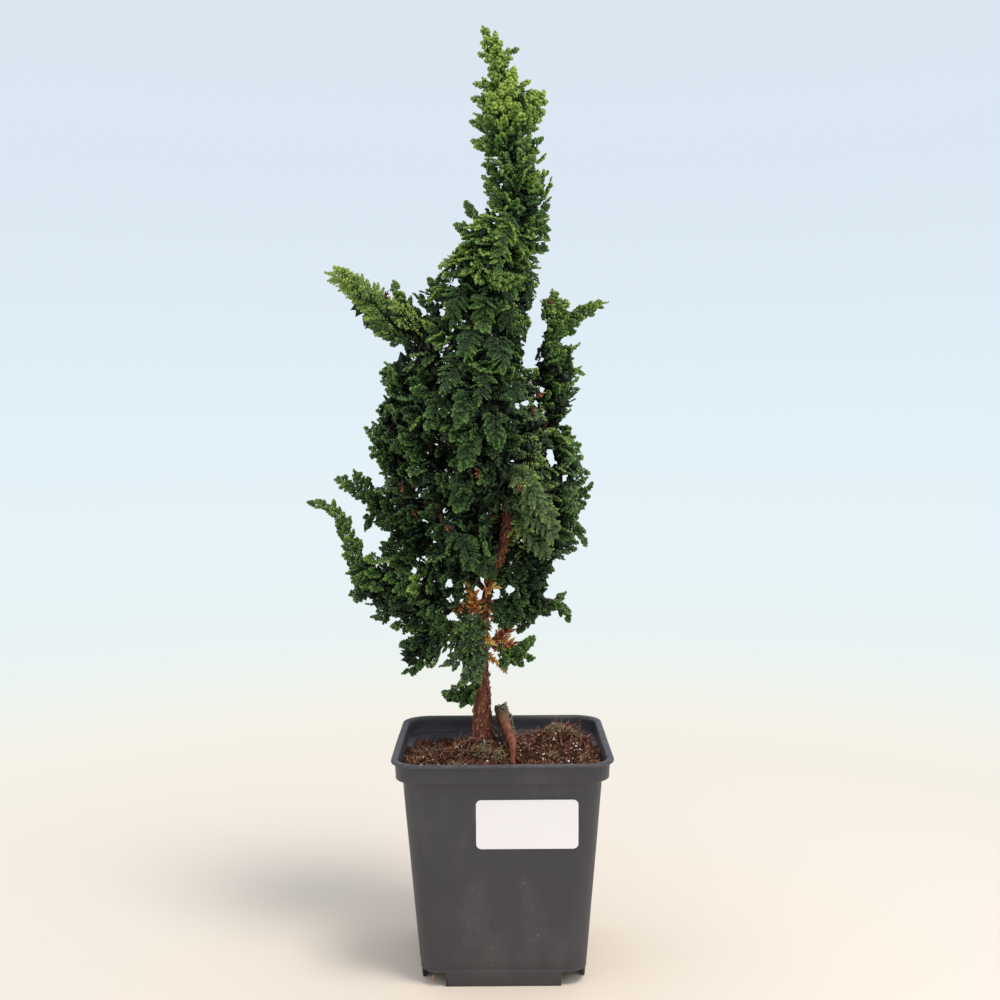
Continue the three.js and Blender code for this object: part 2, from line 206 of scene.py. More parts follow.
def new_object(name, mesh, *materials):
    made = bpy.data.objects.new(name, mesh)
    bpy.context.scene.collection.objects.link(made)
    for material in materials:
        mesh.materials.append(material)
    return made


# The card's tints by the way from the pot to the top of the wall, and where its glow begins and is full.
CARD_TINTS = (
    (0.0, srgb(249, 231, 210)), (0.07, srgb(248, 238, 225)), (0.14, srgb(244, 242, 233)),
    (0.22, srgb(236, 244, 243)), (0.46, srgb(228, 242, 249)), (0.62, srgb(219, 232, 243)),
    (0.80, srgb(221, 226, 238)),
)
GLOW_BEGINS_AND_IS_FULL = 0.12, 0.55
SWEEP_RADIUS = 1.9
SWEEP_CURVE = 0.6
SWEEP_HEIGHT = 2.4


def sweep_finish():
    """Lit card round the pot, which turns into glowing card further out, tinted by the way along it."""
    material, graph = new_finish("pale_card")
    place = graph.split(graph.object_place())
    from_pot_x, from_pot_y = place.out("X") - POT_X, place.out("Y") - POT_Y
    radius = (from_pot_x * from_pot_x + from_pot_y * from_pot_y) ** 0.5
    way = (radius + place.out("Z")) * (1 / (SWEEP_RADIUS + SWEEP_HEIGHT))
    tint = graph.ramp(way, *CARD_TINTS)
    glow = graph.node("ShaderNodeEmission", values={"Color": tint, "Strength": 1.0})
    card = graph.surface(tint, 0.7, specular=0.2)
    glowing = graph.step(radius, *GLOW_BEGINS_AND_IS_FULL)
    mixed = graph.node("ShaderNodeMixShader", values={0: glowing, 1: card, 2: glow})
    graph.finish_with(mixed)
    return material


def sweep_mesh(sides=96, curve_steps=14):
    """A floor disc that curves up into a round wall."""
    flat = SWEEP_RADIUS - SWEEP_CURVE
    profile = [(flat * share, 0.0) for share in (0.15, 0.4, 0.7, 1.0)]
    for step in range(1, curve_steps + 1):
        angle = math.pi / 2 * step / curve_steps
        profile.append((flat + SWEEP_CURVE * math.sin(angle), SWEEP_CURVE * (1 - math.cos(angle))))
    profile.append((SWEEP_RADIUS, SWEEP_HEIGHT))
    points = [(POT_X, POT_Y, 0.0)]
    for radius, height in profile:
        for side in range(sides):
            angle = 2 * math.pi * side / sides
            points.append((POT_X + radius * math.cos(angle), POT_Y + radius * math.sin(angle), height))
    faces = [(0, 1 + side, 1 + (side + 1) % sides) for side in range(sides)]
    for row in range(len(profile) - 1):
        for side in range(sides):
            start, end = 1 + row * sides + side, 1 + row * sides + (side + 1) % sides
            faces.append((start, start + sides, end + sides, end))
    mesh = bpy.data.meshes.new("sweep")
    mesh.from_pydata(points, [], faces)
    mesh.shade_smooth()
    return mesh


new_object("sweep", sweep_mesh(), sweep_finish())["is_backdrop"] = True

CAMERA_BACK, CAMERA_HEIGHT = 0.668, 0.2774
CAMERA_DROOP, CAMERA_ROLL = 0.0559, 0.0067
camera_data = bpy.data.cameras.new("camera")
camera_data.sensor_width = 36.0
camera_data.lens = 46.44
camera = bpy.data.objects.new("camera", camera_data)
camera.location = (POT_X, POT_Y - CAMERA_BACK, CAMERA_HEIGHT)
camera.rotation_euler = (math.pi / 2 - CAMERA_DROOP, CAMERA_ROLL, 0)
bpy.context.scene.collection.objects.link(camera)
bpy.context.scene.camera = camera
bpy.context.scene.view_settings.view_transform = "Standard"


def add_lamp(name, place, aim, size, watts, colour):
    data = bpy.data.lights.new(name, "AREA")
    data.shape = "DISK"
    data.size = size
    data.energy = watts
    data.color = colour
    lamp = bpy.data.objects.new(name, data)
    lamp.location = place
    lamp.rotation_euler = (Vector(aim) - Vector(place)).to_track_quat("-Z", "Y").to_euler()
    bpy.context.scene.collection.objects.link(lamp)


add_lamp("overhead", (POT_X + 0.45, -0.5, 1.6), (POT_X, 0, 0.25), 0.55, 13, (1.0, 0.97, 0.93))
add_lamp("side", (POT_X + 1.1, -0.9, 0.9), (POT_X, 0, 0.2), 0.7, 2, (0.95, 0.98, 1.0))

world = bpy.data.worlds.new("ceiling")
world.use_nodes = True
world.node_tree.nodes["Background"].inputs["Color"].default_value = (0.95, 0.97, 1.0, 1)
world.node_tree.nodes["Background"].inputs["Strength"].default_value = 0.55
bpy.context.scene.world = world


# ---- Pot ----
# One injection-moulded shell of dark grey plastic, 110 mm square at its rolled lip: a collar, a step, a
# tapered wall, a raised floor with drain holes, and a skirt on each side between cut-away corners.
LIP_HALF, COLLAR_HALF, COLLAR_BASE_HALF = 55.0, 53.2, 52.8
WALL_TOP_HALF, WALL_BASE_HALF = 49.6, 41.0
WALL = 1.4
LIP_Z, COLLAR_Z, FLOOR_Z = pot_high.z / MM, 106.5, 9.6
CORNER, LIP_CORNER = 12.0, 15.0
OUTER_FOOT_Z, OUTER_TOP_Z = 9.4, 104.5
INNER_FOOT_Z, INNER_TOP_Z = 11.0, 105.6
SKIRT_HALF, NOTCH = 28.5, 6.5
DRAIN_RADIUS, DRAIN_OFFSET = 4.5, 29.0
BOW = 0.35


def wall_half(z):
    """Half width in mm of the tapered wall's outside at a height."""
    return WALL_BASE_HALF + (WALL_TOP_HALF - WALL_BASE_HALF) * z / COLLAR_Z


def square_ring(half, radius, straight=16, arc=8):
    """Points round a square with rounded corners, and whether each is beyond the skirts' ends."""
    reach = half - radius
    skirt = SKIRT_HALF / (WALL_BASE_HALF - 10)
    inner = [skirt * (2 * step / (straight - 1) - 1) for step in range(straight)]
    along = [-1, -skirt - 0.012, *inner, skirt + 0.012, 1]
    points = []
    for side in range(4):
        turn = side * math.pi / 2
        outline = [(reach * share, -half, abs(share) > skirt + 0.005) for share in along]
        for step in range(1, arc):
            angle = -math.pi / 2 + math.pi / 2 * step / arc
            outline.append((reach + radius * math.cos(angle), -reach + radius * math.sin(angle), True))
        for x, y, cut in outline:
            cos, sin = math.cos(turn), math.sin(turn)
            points.append((x * cos - y * sin, x * sin + y * cos, cut))
    return points


def pot_rows():
    """The shell's section in mm, from under its floor, down, outside, up, over the lip and down inside."""
    rows = []

    def wall_row(z, inset, foot=False):
        half = wall_half(z) - inset
        rows.append((half, CORNER * (half + inset) / WALL_TOP_HALF - inset, z, foot))

    wall_row(FLOOR_Z - WALL, WALL)
    wall_row(FLOOR_Z - WALL - 0.6, WALL)
    for z, inset in ((0.35, WALL), (0.0, WALL - 0.35), (0.0, 0.35), (0.35, 0.0)):
        wall_row(z, inset, foot=True)
    for z, inset in ((7.4, 0), (8.4, 0), (8.7, 0.22), (9.1, 0.22), (9.4, 0)):
        wall_row(z, inset)
    for step in range(1, 20):
        wall_row(OUTER_FOOT_Z + (OUTER_TOP_Z - OUTER_FOOT_Z) * step / 20, 0)
    wall_row(OUTER_TOP_Z, 0.05)
    wall_row(105.0, -0.15)
    for half, z in ((50.4, 105.1), (52.0, 105.1), (52.55, 105.25), (52.8, 105.7), (52.85, 108), (53.0, 110.5),
                    (53.1, 112.5), (53.2, 113.0), (53.5, 113.2), (54.3, 113.2), (54.8, 113.4), (55.0, 113.8),
                    (55.0, 114.3), (54.85, 114.7), (54.5, 114.95), (53.8, 115.0), (52.6, 114.95),
                    (52.0, 114.75), (51.65, 114.3), (51.55, 113), (51.5, 111), (51.42, 107.6),
                    (51.2, 107.0), (50.7, 106.55)):
        rows.append((half, LIP_CORNER - (LIP_HALF - half) * 0.6, z, False))
    for z, inset in ((106.45, 0.1), (106.2, 0.9), (INNER_TOP_Z, WALL)):
        wall_row(z, inset)
    for step in range(1, 17):
        wall_row(INNER_TOP_Z - (INNER_TOP_Z - INNER_FOOT_Z) * step / 17, WALL)
    wall_row(FLOOR_Z + 0.4, WALL + 0.1)
    wall_row(FLOOR_Z, WALL + 0.7)
    return rows


def mesh_of(shell, name):
    """Turns a bmesh into a mesh, with its normals outwards."""
    bmesh.ops.recalc_face_normals(shell, faces=shell.faces)
    mesh = bpy.data.meshes.new(name)
    shell.to_mesh(mesh)
    shell.free()
    return mesh


def closed_shell(name, rings):
    """A mesh through rings of points in metres, capped at both ends."""
    shell = bmesh.new()
    rings = [[shell.verts.new(point) for point in ring] for ring in rings]
    for lower, upper in zip(rings, rings[1:]):
        for i in range(len(lower)):
            j = (i + 1) % len(lower)
            shell.faces.new((lower[i], lower[j], upper[j], upper[i]))
    shell.faces.new(rings[0])
    shell.faces.new(rings[-1])
    return mesh_of(shell, name)


def pot_mesh():
    """The shell, with sides that bow a little."""
    rings = []
    for half, radius, z, foot in pot_rows():
        ring = []
        for x, y, cut in square_ring(half, radius):
            bow = BOW * noise.noise(Vector((x * 0.02, y * 0.02, z * 0.02 + 7)))
            height = z + (NOTCH if foot and cut else 0)
            swell = 1 + bow / LIP_HALF
            ring.append((POT_X + x * swell * MM, POT_Y + y * swell * MM, height * MM))
        rings.append(ring)
    return closed_shell("pot", rings)


def drain_cutters():
    """Four upright cylinders, one for each drain hole."""
    tool = bmesh.new()
    radius = DRAIN_RADIUS * MM
    for side_x in (-1, 1):
        for side_y in (-1, 1):
            made = bmesh.ops.create_cone(
                tool, cap_ends=True, segments=28, depth=6 * MM, radius1=radius, radius2=radius)
            middle = Vector((POT_X, POT_Y, FLOOR_Z * MM - 0.7 * MM))
            shift = Vector((side_x * DRAIN_OFFSET * MM, side_y * DRAIN_OFFSET * MM, 0))
            bmesh.ops.translate(tool, verts=made["verts"], vec=middle + shift)
    mesh = bpy.data.meshes.new("drain_cutters")
    tool.to_mesh(mesh)
    tool.free()
    return new_object("drain_cutters", mesh)


def plain_result(piece):
    """Turns an object and its modifiers into a plain mesh on the same object."""
    evaluated = piece.evaluated_get(bpy.context.evaluated_depsgraph_get())
    piece.data = bpy.data.meshes.new_from_object(evaluated)
    piece.modifiers.clear()


def pot_finish():
    material, graph = new_finish("pot_plastic")
    height = graph.split(graph.object_place()).out("Z")
    clouds = graph.grain(22, 4, 0.6)
    smear = graph.grain(60, 5, 0.62, graph.object_place((1, 1, 0.35)))
    dust = graph.step(smear + clouds * 0.6, 0.78, 1.02)
    grit = graph.step(graph.grain(900, 2, 0.5), 0.68, 0.74)
    lip = graph.step(height, (LIP_Z - 2.2) * MM, (LIP_Z - 0.5) * MM)
    scuffs = graph.step(graph.grain(320, 4, 0.7, graph.object_place((1, 1, 3))), 0.4, 0.62)
    body = graph.blend(clouds, (0.035, 0.032, 0.038), (0.050, 0.046, 0.054))
    dusty = graph.blend(dust * 0.32, body, (0.125, 0.108, 0.098))
    gritty = graph.blend(grit * dust * 0.8, dusty, (0.30, 0.25, 0.2))
    worn = graph.blend(lip * (0.03 + scuffs * 0.25), gritty, (0.20, 0.185, 0.19))
    roughness = 0.42 + dust * 0.25 + lip * 0.1 + graph.grain(140, 3) * 0.1
    relief = graph.grain(1500, 2) * 0.4 + scuffs * lip * 0.5 + smear * 0.1
    graph.finish_with(graph.surface(worn, roughness, relief, 0.05 * MM))
    return material


pot = new_object("pot_shell", pot_mesh(), pot_finish())
cutters = drain_cutters()
drilling = pot.modifiers.new("drain_holes", "BOOLEAN")
drilling.object = cutters
drilling.solver = "EXACT"
plain_result(pot)
bpy.data.objects.remove(cutters)
pot.data.shade_smooth()
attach(pot, "root")
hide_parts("pot")


# ---- Label ----
# A blank white paper sticker, 50 x 25 mm with rounded corners, pressed on the front wall and leaning with it.
# It carries no printing. Its edge is cut square.
LABEL_WIDTH, LABEL_HEIGHT, LABEL_CORNER = 50.0, 25.0, 2.6
LABEL_THICKNESS, LABEL_LIFT = 0.25, 0.2
label_low, label_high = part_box("label")
LABEL_X = (label_low.x + label_high.x) / 2 / MM
LABEL_Z = (label_low.z + label_high.z) / 2 / MM


def label_outline(inset, arc=8):
    half_x, half_z = LABEL_WIDTH / 2 - LABEL_CORNER, LABEL_HEIGHT / 2 - LABEL_CORNER
    radius = LABEL_CORNER - inset
    points = []
    for turn, (side_x, side_z) in enumerate(((1, -1), (1, 1), (-1, 1), (-1, -1))):
        for step in range(arc + 1):
            angle = math.pi / 2 * (turn - 1 + step / arc)
            x = side_x * half_x + radius * math.cos(angle)
            points.append((x, side_z * half_z + radius * math.sin(angle)))
    return points


def label_mesh():
    lean = math.atan((WALL_TOP_HALF - WALL_BASE_HALF) / COLLAR_Z)
    rings = []
    for inset, lift in ((0, 0), (0, LABEL_THICKNESS - 0.05), (0.06, LABEL_THICKNESS), (1.2, LABEL_THICKNESS)):
        ring = []
        for x, z in label_outline(inset):
            ripple = 0.06 * noise.noise(Vector((x * 0.12, z * 0.12, 3)))
            out = LABEL_LIFT + lift + (ripple if lift else 0)
            world_z = LABEL_Z + z * math.cos(lean)
            y = -wall_half(world_z) - out
            ring.append(((LABEL_X + x) * MM, POT_Y + y * MM, world_z * MM))
        rings.append(ring)
    return closed_shell("label", rings)


def label_finish():
    material, graph = new_finish("label_paper")
    fibres = graph.grain(1400, 3, 0.6)
    clouds = graph.grain(70, 3, 0.5)
    white = graph.blend(clouds, (0.94, 0.87, 0.87), (0.98, 0.93, 0.92))
    paper = graph.blend(graph.step(fibres, 0.6, 0.8) * 0.12, white, (0.70, 0.64, 0.62))
    graph.finish_with(graph.surface(paper, 0.5 + clouds * 0.12, fibres, 0.02 * MM))
    return material


label = new_object("blank_sticker", label_mesh(), label_finish())
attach(label, "root")
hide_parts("label")


# ---- Root ball ----
# Bark, peat and coir bound by roots. The crust is one closed body that fills the pot, and loose fibres,
# bark chips, crumbs, white grit and tufts of moss are strewn over its top.
SOIL_GAP = 0.35
SOIL_ROWS = 50
CRUST_Z = 104.0
HOLE_DEPTH = 97.0
PLUMB_FROM = 0.2


def bvh_of(names):
    """One search tree over some CAD nodes, and the node that each of its faces belongs to."""
    points, faces, owners = [], [], []
    for name in names:
        start = len(points)
        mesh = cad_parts[name].data
        points.extend(vertex.co.copy() for vertex in mesh.vertices)
        for polygon in mesh.polygons:
            faces.append([start + index for index in polygon.vertices])
            owners.append(name)
    return BVHTree.FromPolygons(points, faces), owners


def plumb(tree, x, y):
    """Where a plumb line at x and y, in mm from the pot's middle, meets a body."""
    return tree.ray_cast(Vector((POT_X + x * MM, POT_Y + y * MM, PLUMB_FROM)), Vector((0, 0, -1)))[0]


def soil_mesh():
    """The root ball, with the CAD body's own top as its broad shape and a lumpy crust on it."""
    tree, _ = bvh_of(["soil"])
    ring = square_ring(wall_half(CRUST_Z) - WALL - SOIL_GAP, 11.5, straight=44, arc=9)
    count = len(ring)
    shares = [((row + 1) / SOIL_ROWS) ** 0.85 for row in range(SOIL_ROWS)]
    grid = np.array([[(x * share, y * share) for x, y, _ in ring] for share in shares])
    heights = np.full(grid.shape[:2], np.nan)
    for row in range(SOIL_ROWS):
        for i in range(count):
            hit = plumb(tree, *(grid[row, i] * 0.995))
            if hit and hit.z > HOLE_DEPTH * MM:
                heights[row, i] = hit.z / MM
    known = ~np.isnan(heights)
    places = grid[known]
    tops = heights[known]
    for row, i in zip(*np.nonzero(~known)):
        apart = np.sum((places - grid[row, i]) ** 2, axis=1)
        nearest = np.argsort(apart)[:12]
        weights = 1 / (apart[nearest] + 1)
        heights[row, i] = np.sum(tops[nearest] * weights) / np.sum(weights)
    ball = bmesh.new()
    rings = []
    for row in range(SOIL_ROWS):
        made = []
        for i in range(count):
            x, y = grid[row, i]
            lumps = 1.5 * noise.fractal(Vector((x * 0.16, y * 0.16, 1)), 1.0, 2.1, 4)
            crumbs = 0.9 * noise.noise(Vector((x * 0.7, y * 0.7, 5)))
            z = heights[row, i] + lumps + crumbs
            made.append(ball.verts.new((POT_X + x * MM, POT_Y + y * MM, z * MM)))
        rings.append(made)
    centre_z = sum(vertex.co.z for vertex in rings[0]) / count
    centre = ball.verts.new((POT_X, POT_Y, centre_z))
    for z in (100.0, 70.0, 40.0, FLOOR_Z + 0.4):
        outline = square_ring(wall_half(z) - WALL - SOIL_GAP, 9.5, straight=44, arc=9)
        rings.append([ball.verts.new((POT_X + x * MM, POT_Y + y * MM, z * MM)) for x, y, _ in outline])
    for i in range(count):
        j = (i + 1) % count
        ball.faces.new((centre, rings[0][i], rings[0][j]))
        for inner, outer in zip(rings, rings[1:]):
            ball.faces.new((inner[i], outer[i], outer[j], inner[j]))
    ball.faces.new(rings[-1])
    mesh = mesh_of(ball, "root_ball")
    mesh.shade_smooth()
    return mesh


def soil_finish():
    material, graph = new_finish("potting_soil")
    lumps = graph.grain(260, 5, 0.7)
    specks = graph.grain(1100, 4, 0.7)
    earth = graph.ramp(
        lumps * 0.5 + specks * 0.5,
        (0.34, (0.006, 0.003, 0.002)),
        (0.50, (0.026, 0.009, 0.0045)),
        (0.62, (0.105, 0.036, 0.016)),
        (0.76, (0.19, 0.075, 0.034)),
    )
    relief = specks * 0.6 + lumps * 0.4
    graph.finish_with(graph.surface(earth, 0.85 + specks * 0.1, relief, 0.6 * MM, specular=0.15))
    return material


soil = new_object("root_ball_crust", soil_mesh(), soil_finish())
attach(soil, "root")
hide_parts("soil")
SOIL_TREE = BVHTree.FromPolygons(
    [vertex.co.copy() for vertex in soil.data.vertices], [face.vertices[:] for face in soil.data.polygons])

# Loose earth has spread over the pot's inner step, from its right side round the front to its left.
STEP_Z, STEP_INNER, STEP_MIDDLE, STEP_OUTER, STEP_BACK = 106.9, 46.6, 48.8, 50.9, 16.0
STEP_CORNER = 12.9


def step_mesh():
    """A strip of earth on the step, as high as the crust beside it, that thins out towards its ends."""
    edges = ((STEP_INNER, 11.0), (STEP_MIDDLE, 12.0), (STEP_OUTER, STEP_CORNER))
    rings = [square_ring(half, corner, straight=44, arc=9) for half, corner in edges]
    points, faces = [], []
    for corners in zip(*rings):
        x, y, _ = corners[0]
        crust = plumb(SOIL_TREE, x, y).z / MM - 0.3
        fade = min(1.0, max(0.0, (STEP_BACK - y) / 12))
        for share, (x, y, _) in enumerate(corners):
            lump = 1.1 * noise.noise(Vector((x * 0.4, y * 0.4, 9))) + 0.4
            height = crust if share == 0 else STEP_Z + max(0.0, max(crust, 107.6) + lump - STEP_Z) * fade
            points.append((POT_X + x * MM, POT_Y + y * MM, height * MM))
    count = len(rings[0])
    for i in range(count):
        j = (i + 1) % count
        if rings[0][i][1] < STEP_BACK and rings[0][j][1] < STEP_BACK:
            faces.extend((3 * i + row, 3 * i + row + 1, 3 * j + row + 1, 3 * j + row) for row in (0, 1))
    mesh = bpy.data.meshes.new("step_soil")
    mesh.from_pydata(points, [], faces)
    mesh.shade_smooth()
    return mesh


step_soil = new_object("step_soil", step_mesh(), soil.data.materials[0])
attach(step_soil, "root")


def geometry_graph(name, inputs):
    """A Geometry Nodes tree with named inputs after its geometry. Returns its graph and its input node."""
    tree = bpy.data.node_groups.new(name, "GeometryNodeTree")
    tree.interface.new_socket("Geometry", in_out="INPUT", socket_type="NodeSocketGeometry")
    for label, kind in inputs.items():
        tree.interface.new_socket(label, in_out="INPUT", socket_type="NodeSocket" + kind)
    tree.interface.new_socket("Geometry", in_out="OUTPUT", socket_type="NodeSocketGeometry")
    graph = Graph(tree)
    return graph, graph.node("NodeGroupInput")


def run_tree(piece, tree, **inputs):
    """Runs a Geometry Nodes tree on an object with its inputs set, and keeps the result as a plain mesh."""
    modifier = piece.modifiers.new(tree.name, "NODES")
    modifier.node_group = tree
    for socket in tree.interface.items_tree:
        key = socket.name.lower().replace(" ", "_")
        if socket.in_out == "INPUT" and key in inputs:
            modifier[socket.identifier] = inputs[key]
    plain_result(piece)


def strewing_tree():
    """Strews copies of one small shape over the upward faces, turned and leaning at random, each with a
    tone."""
    kinds = {"Shape": "Object", "Per Square Metre": "Float", "Smallest": "Float", "Largest": "Float",
             "Lean": "Float", "Sink": "Float", "Seed": "Int", "Finish": "Material"}
    graph, given = geometry_graph("strewing", kinds)

    def random(kind, low, high, salt):
        """A random number or vector for each copy; salt tells one from the next."""
        ends = ("Min", "Max") if kind == "FLOAT_VECTOR" else ("Min_001", "Max_001")
        values = {ends[0]: low, ends[1]: high, "Seed": given.out("Seed") + salt}
        output = "Value" if kind == "FLOAT_VECTOR" else "Value_001"
        return graph.node("FunctionNodeRandomValue", {"data_type": kind}, values, output)

    rise = graph.split(graph.node("GeometryNodeInputNormal")).out("Z")
    spots = graph.node("GeometryNodeDistributePointsOnFaces", {"distribute_method": "RANDOM"}, {
        "Mesh": given, "Selection": graph.maths("GREATER_THAN", rise, 0.3),
        "Density": given.out("Per Square Metre"), "Seed": given.out("Seed")})
    toned = graph.node("GeometryNodeStoreNamedAttribute", {"data_type": "FLOAT", "domain": "POINT"}, {
        "Geometry": spots, "Name": "tone", "Value": random("FLOAT", 0.0, 1.0, 1)})
    wild = random("FLOAT_VECTOR", (-1, -1, -1), (1, 1, 1), 2)
    leaning = graph.vector_maths("SCALE", wild, Scale=given.out("Lean"))
    upright = graph.vector_maths("ADD", spots.out("Normal"), leaning)
    turned = graph.node("FunctionNodeAxesToRotation", {"primary_axis": "Z", "secondary_axis": "X"}, {
        "Primary Axis": upright, "Secondary Axis": random("FLOAT_VECTOR", (-1, -1, -1), (1, 1, 1), 3)})
    shape = graph.node("GeometryNodeObjectInfo", {"transform_space": "ORIGINAL"}, {
        "Object": given.out("Shape")}, "Geometry")
    down = graph.vector_maths("SCALE", spots.out("Normal"), Scale=0.0 - given.out("Sink"))
    lowered = graph.node("GeometryNodeSetPosition", values={"Geometry": toned, "Offset": down})
    copies = graph.node("GeometryNodeInstanceOnPoints", values={
        "Points": lowered, "Instance": shape, "Rotation": turned,
        "Scale": random("FLOAT", given.out("Smallest"), given.out("Largest"), 4)})
    whole = graph.node("GeometryNodeRealizeInstances", values={"Geometry": copies})
    values = {"Geometry": whole, "Material": given.out("Finish")}
    coated = graph.node("GeometryNodeSetMaterial", values=values)
    graph.node("NodeGroupOutput", values={"Geometry": coated})
    return graph.tree


STREWING = strewing_tree()


def strand(points, radii, sides=3):
    """A thin tapering strand through some points in mm, closed at both ends, as vertices and faces."""
    points = [Vector(point) for point in points]
    vertices, faces = [points[0]], []
    for index in range(1, len(points) - 1):
        along = (points[index + 1] - points[index - 1]).normalized()
        across = along.orthogonal().normalized()
        aside = along.cross(across)
        for side in range(sides):
            angle = 2 * math.pi * side / sides
            way = across * math.cos(angle) + aside * math.sin(angle)
            vertices.append(points[index] + way * radii[index])
    vertices.append(points[-1])
    last = len(vertices) - 1
    for side in range(sides):
        following = (side + 1) % sides
        faces.append((0, 1 + following, 1 + side))
        faces.append((last, last - sides + side, last - sides + following))
        for row in range(len(points) - 3):
            start = 1 + row * sides
            above = start + sides
            faces.append((start + side, start + following, above + following, above + side))
    return vertices, faces


def small_shape(name, vertices, faces):
    """A hidden shape for strewing, given in mm."""
    mesh = bpy.data.meshes.new(name)
    mesh.from_pydata([Vector(vertex) * MM for vertex in vertices], [], faces)
    shape = new_object(name, mesh)
    shape.hide_render = True
    return shape


def wandering(rng, start, heading, length, curl, steps=8):
    """Points of a strand that wanders on from its start."""
    place, heading = np.array(start, float), np.array(heading, float)
    points = [place.copy()]
    for _ in range(steps):
        heading += rng.normal(0, curl, 3)
        heading /= np.linalg.norm(heading)
        place = place + heading * length / steps
        points.append(place.copy())
    return points


def curled_fibre(name, length, curl, thickness, seed):
    start, heading = (-length / 2, 0, -0.4), (1, 0, 0.25)
    points = wandering(np.random.default_rng(seed), start, heading, length, curl, steps=5)
    radii = [thickness * (0.6 + 0.4 * math.sin(math.pi * step / 5)) for step in range(6)]
    return small_shape(name, *strand(points, radii))


def rough_lump(name, size, flatness, seed, jitter=0.35):
    """An angular crumb: a jittered ball, squashed."""
    rng = np.random.default_rng(seed)
    ball = bmesh.new()
    bmesh.ops.create_icosphere(ball, subdivisions=1, radius=size)
    for vertex in ball.verts:
        vertex.co *= 1 + rng.uniform(-jitter, jitter)
        vertex.co.z *= flatness
        vertex.co.x *= 1.25
    vertices = [vertex.co[:] for vertex in ball.verts]
    faces = [[vertex.index for vertex in face.verts] for face in ball.faces]
    ball.free()
    return small_shape(name, vertices, faces)


def litter_finish(name, dark, light, roughness, flecks=0.3):
    """Each scrap's own tone runs from dark to light, with flecks in it."""
    material, graph = new_finish(name)
    tone = graph.attribute("tone")
    flecking = graph.grain(1300, 3, 0.6)
    shade = graph.clamp(tone * (1 - flecks) + flecking * flecks)
    colour = graph.blend(shade, dark, light)
    graph.finish_with(graph.surface(colour, roughness, flecking, 0.15 * MM, specular=0.3))
    return material


def strew(name, shapes, density, smallest, largest, lean, sink, seed, finish, over=soil):
    """One piece of litter over the root ball, made of several shapes, kept inside the pot's wall."""
    parts = []
    for index, shape in enumerate(shapes):
        part = new_object(f"{name}_{index}", over.data.copy())
        part.data.materials.clear()
        run_tree(part, STREWING, shape=shape, per_square_metre=density / len(shapes), smallest=smallest,
                 largest=largest, lean=lean, sink=sink, seed=seed + 17 * index, finish=finish)
        parts.append(part)
    heap = bmesh.new()
    for part in parts:
        heap.from_mesh(part.data)
    mesh = bpy.data.meshes.new(name)
    heap.to_mesh(mesh)
    heap.free()
    mesh.materials.append(finish)
    for thing in parts + list(shapes):
        bpy.data.objects.remove(thing)
    keep_in_pot(mesh)
    piece = new_object(name, mesh)
    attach(piece, "root")
    return piece


# Litter lies within the wall, and higher up within the lip.
LITTER_GAP, LITTER_CORNER = 0.3, 10.5
PRESSED_Z, SPREAD_Z = 90.0, 107.4


def keep_in_pot(mesh):
    """Presses whatever reaches past the pot's inner wall back against it."""
    count = len(mesh.vertices)
    places = np.empty(count * 3, np.float32)
    mesh.vertices.foreach_get("co", places)
    places = places.reshape(count, 3)
    across = (places[:, :2] - (POT_X, POT_Y)) / MM
    above = places[:, 2:] > SPREAD_Z * MM
    limit = np.where(above, STEP_OUTER, wall_half(CRUST_Z) - WALL - LITTER_GAP)
    radius = np.where(above, STEP_CORNER, LITTER_CORNER)
    across = np.where(places[:, 2:] > PRESSED_Z * MM, np.clip(across, -limit, limit), across)
    corner = limit - radius
    beyond = np.maximum(np.abs(across) - corner, 0)
    reach = np.linalg.norm(beyond, axis=1, keepdims=True)
    pull = np.where(reach > radius, radius / np.maximum(reach, 1e-6), 1)
    both = (beyond > 0).all(axis=1)
    pulled = np.sign(across) * (corner + beyond * pull)
    across[both] = pulled[both]
    places[:, :2] = across * MM + (POT_X, POT_Y)
    mesh.vertices.foreach_set("co", places.ravel())


fibre_finish = litter_finish("coir_fibre", (0.012, 0.004, 0.002), (0.86, 0.36, 0.19), 0.7, 0.4)
strew("coir_fibres",
      [curled_fibre("fibre_a", 5.0, 0.80, 0.14, 1), curled_fibre("fibre_b", 8.0, 0.65, 0.12, 2),
       curled_fibre("fibre_c", 4.0, 0.85, 0.16, 3), curled_fibre("fibre_d", 4.5, 1.10, 0.13, 4)],
      203000, 0.5, 1.3, 0.9, -0.3 * MM, 11, fibre_finish)
strew("step_fibres",
      [curled_fibre("fibre_e", 4.0, 0.85, 0.15, 14), curled_fibre("fibre_f", 5.0, 0.75, 0.13, 15)],
      185000, 0.5, 1.35, 0.9, -0.3 * MM, 53, fibre_finish, step_soil)
straw_finish = litter_finish("pale_fibre", (0.34, 0.17, 0.10), (0.80, 0.58, 0.42), 0.5)
strew("pale_fibres",
      [curled_fibre("straw_a", 5.0, 0.45, 0.15, 12), curled_fibre("straw_b", 7.0, 0.6, 0.13, 13)],
      17000, 0.4, 1.1, 0.8, 0.0, 29, straw_finish)
crumb_finish = litter_finish("peat_crumb", (0.008, 0.004, 0.003), (0.12, 0.042, 0.020), 0.9)
strew("peat_crumbs", [rough_lump("crumb_a", 0.7, 0.8, 4), rough_lump("crumb_b", 0.6, 0.7, 5)],
      60000, 0.6, 1.5, 0.6, -0.2 * MM, 23, crumb_finish)
chip_finish = litter_finish("bark_chip", (0.022, 0.008, 0.005), (0.27, 0.10, 0.045), 0.85)
strew("bark_chips", [rough_lump("chip_a", 1.3, 0.3, 6), rough_lump("chip_b", 1.1, 0.35, 7)],
      11000, 0.5, 1.3, 1.0, -0.5 * MM, 37, chip_finish)
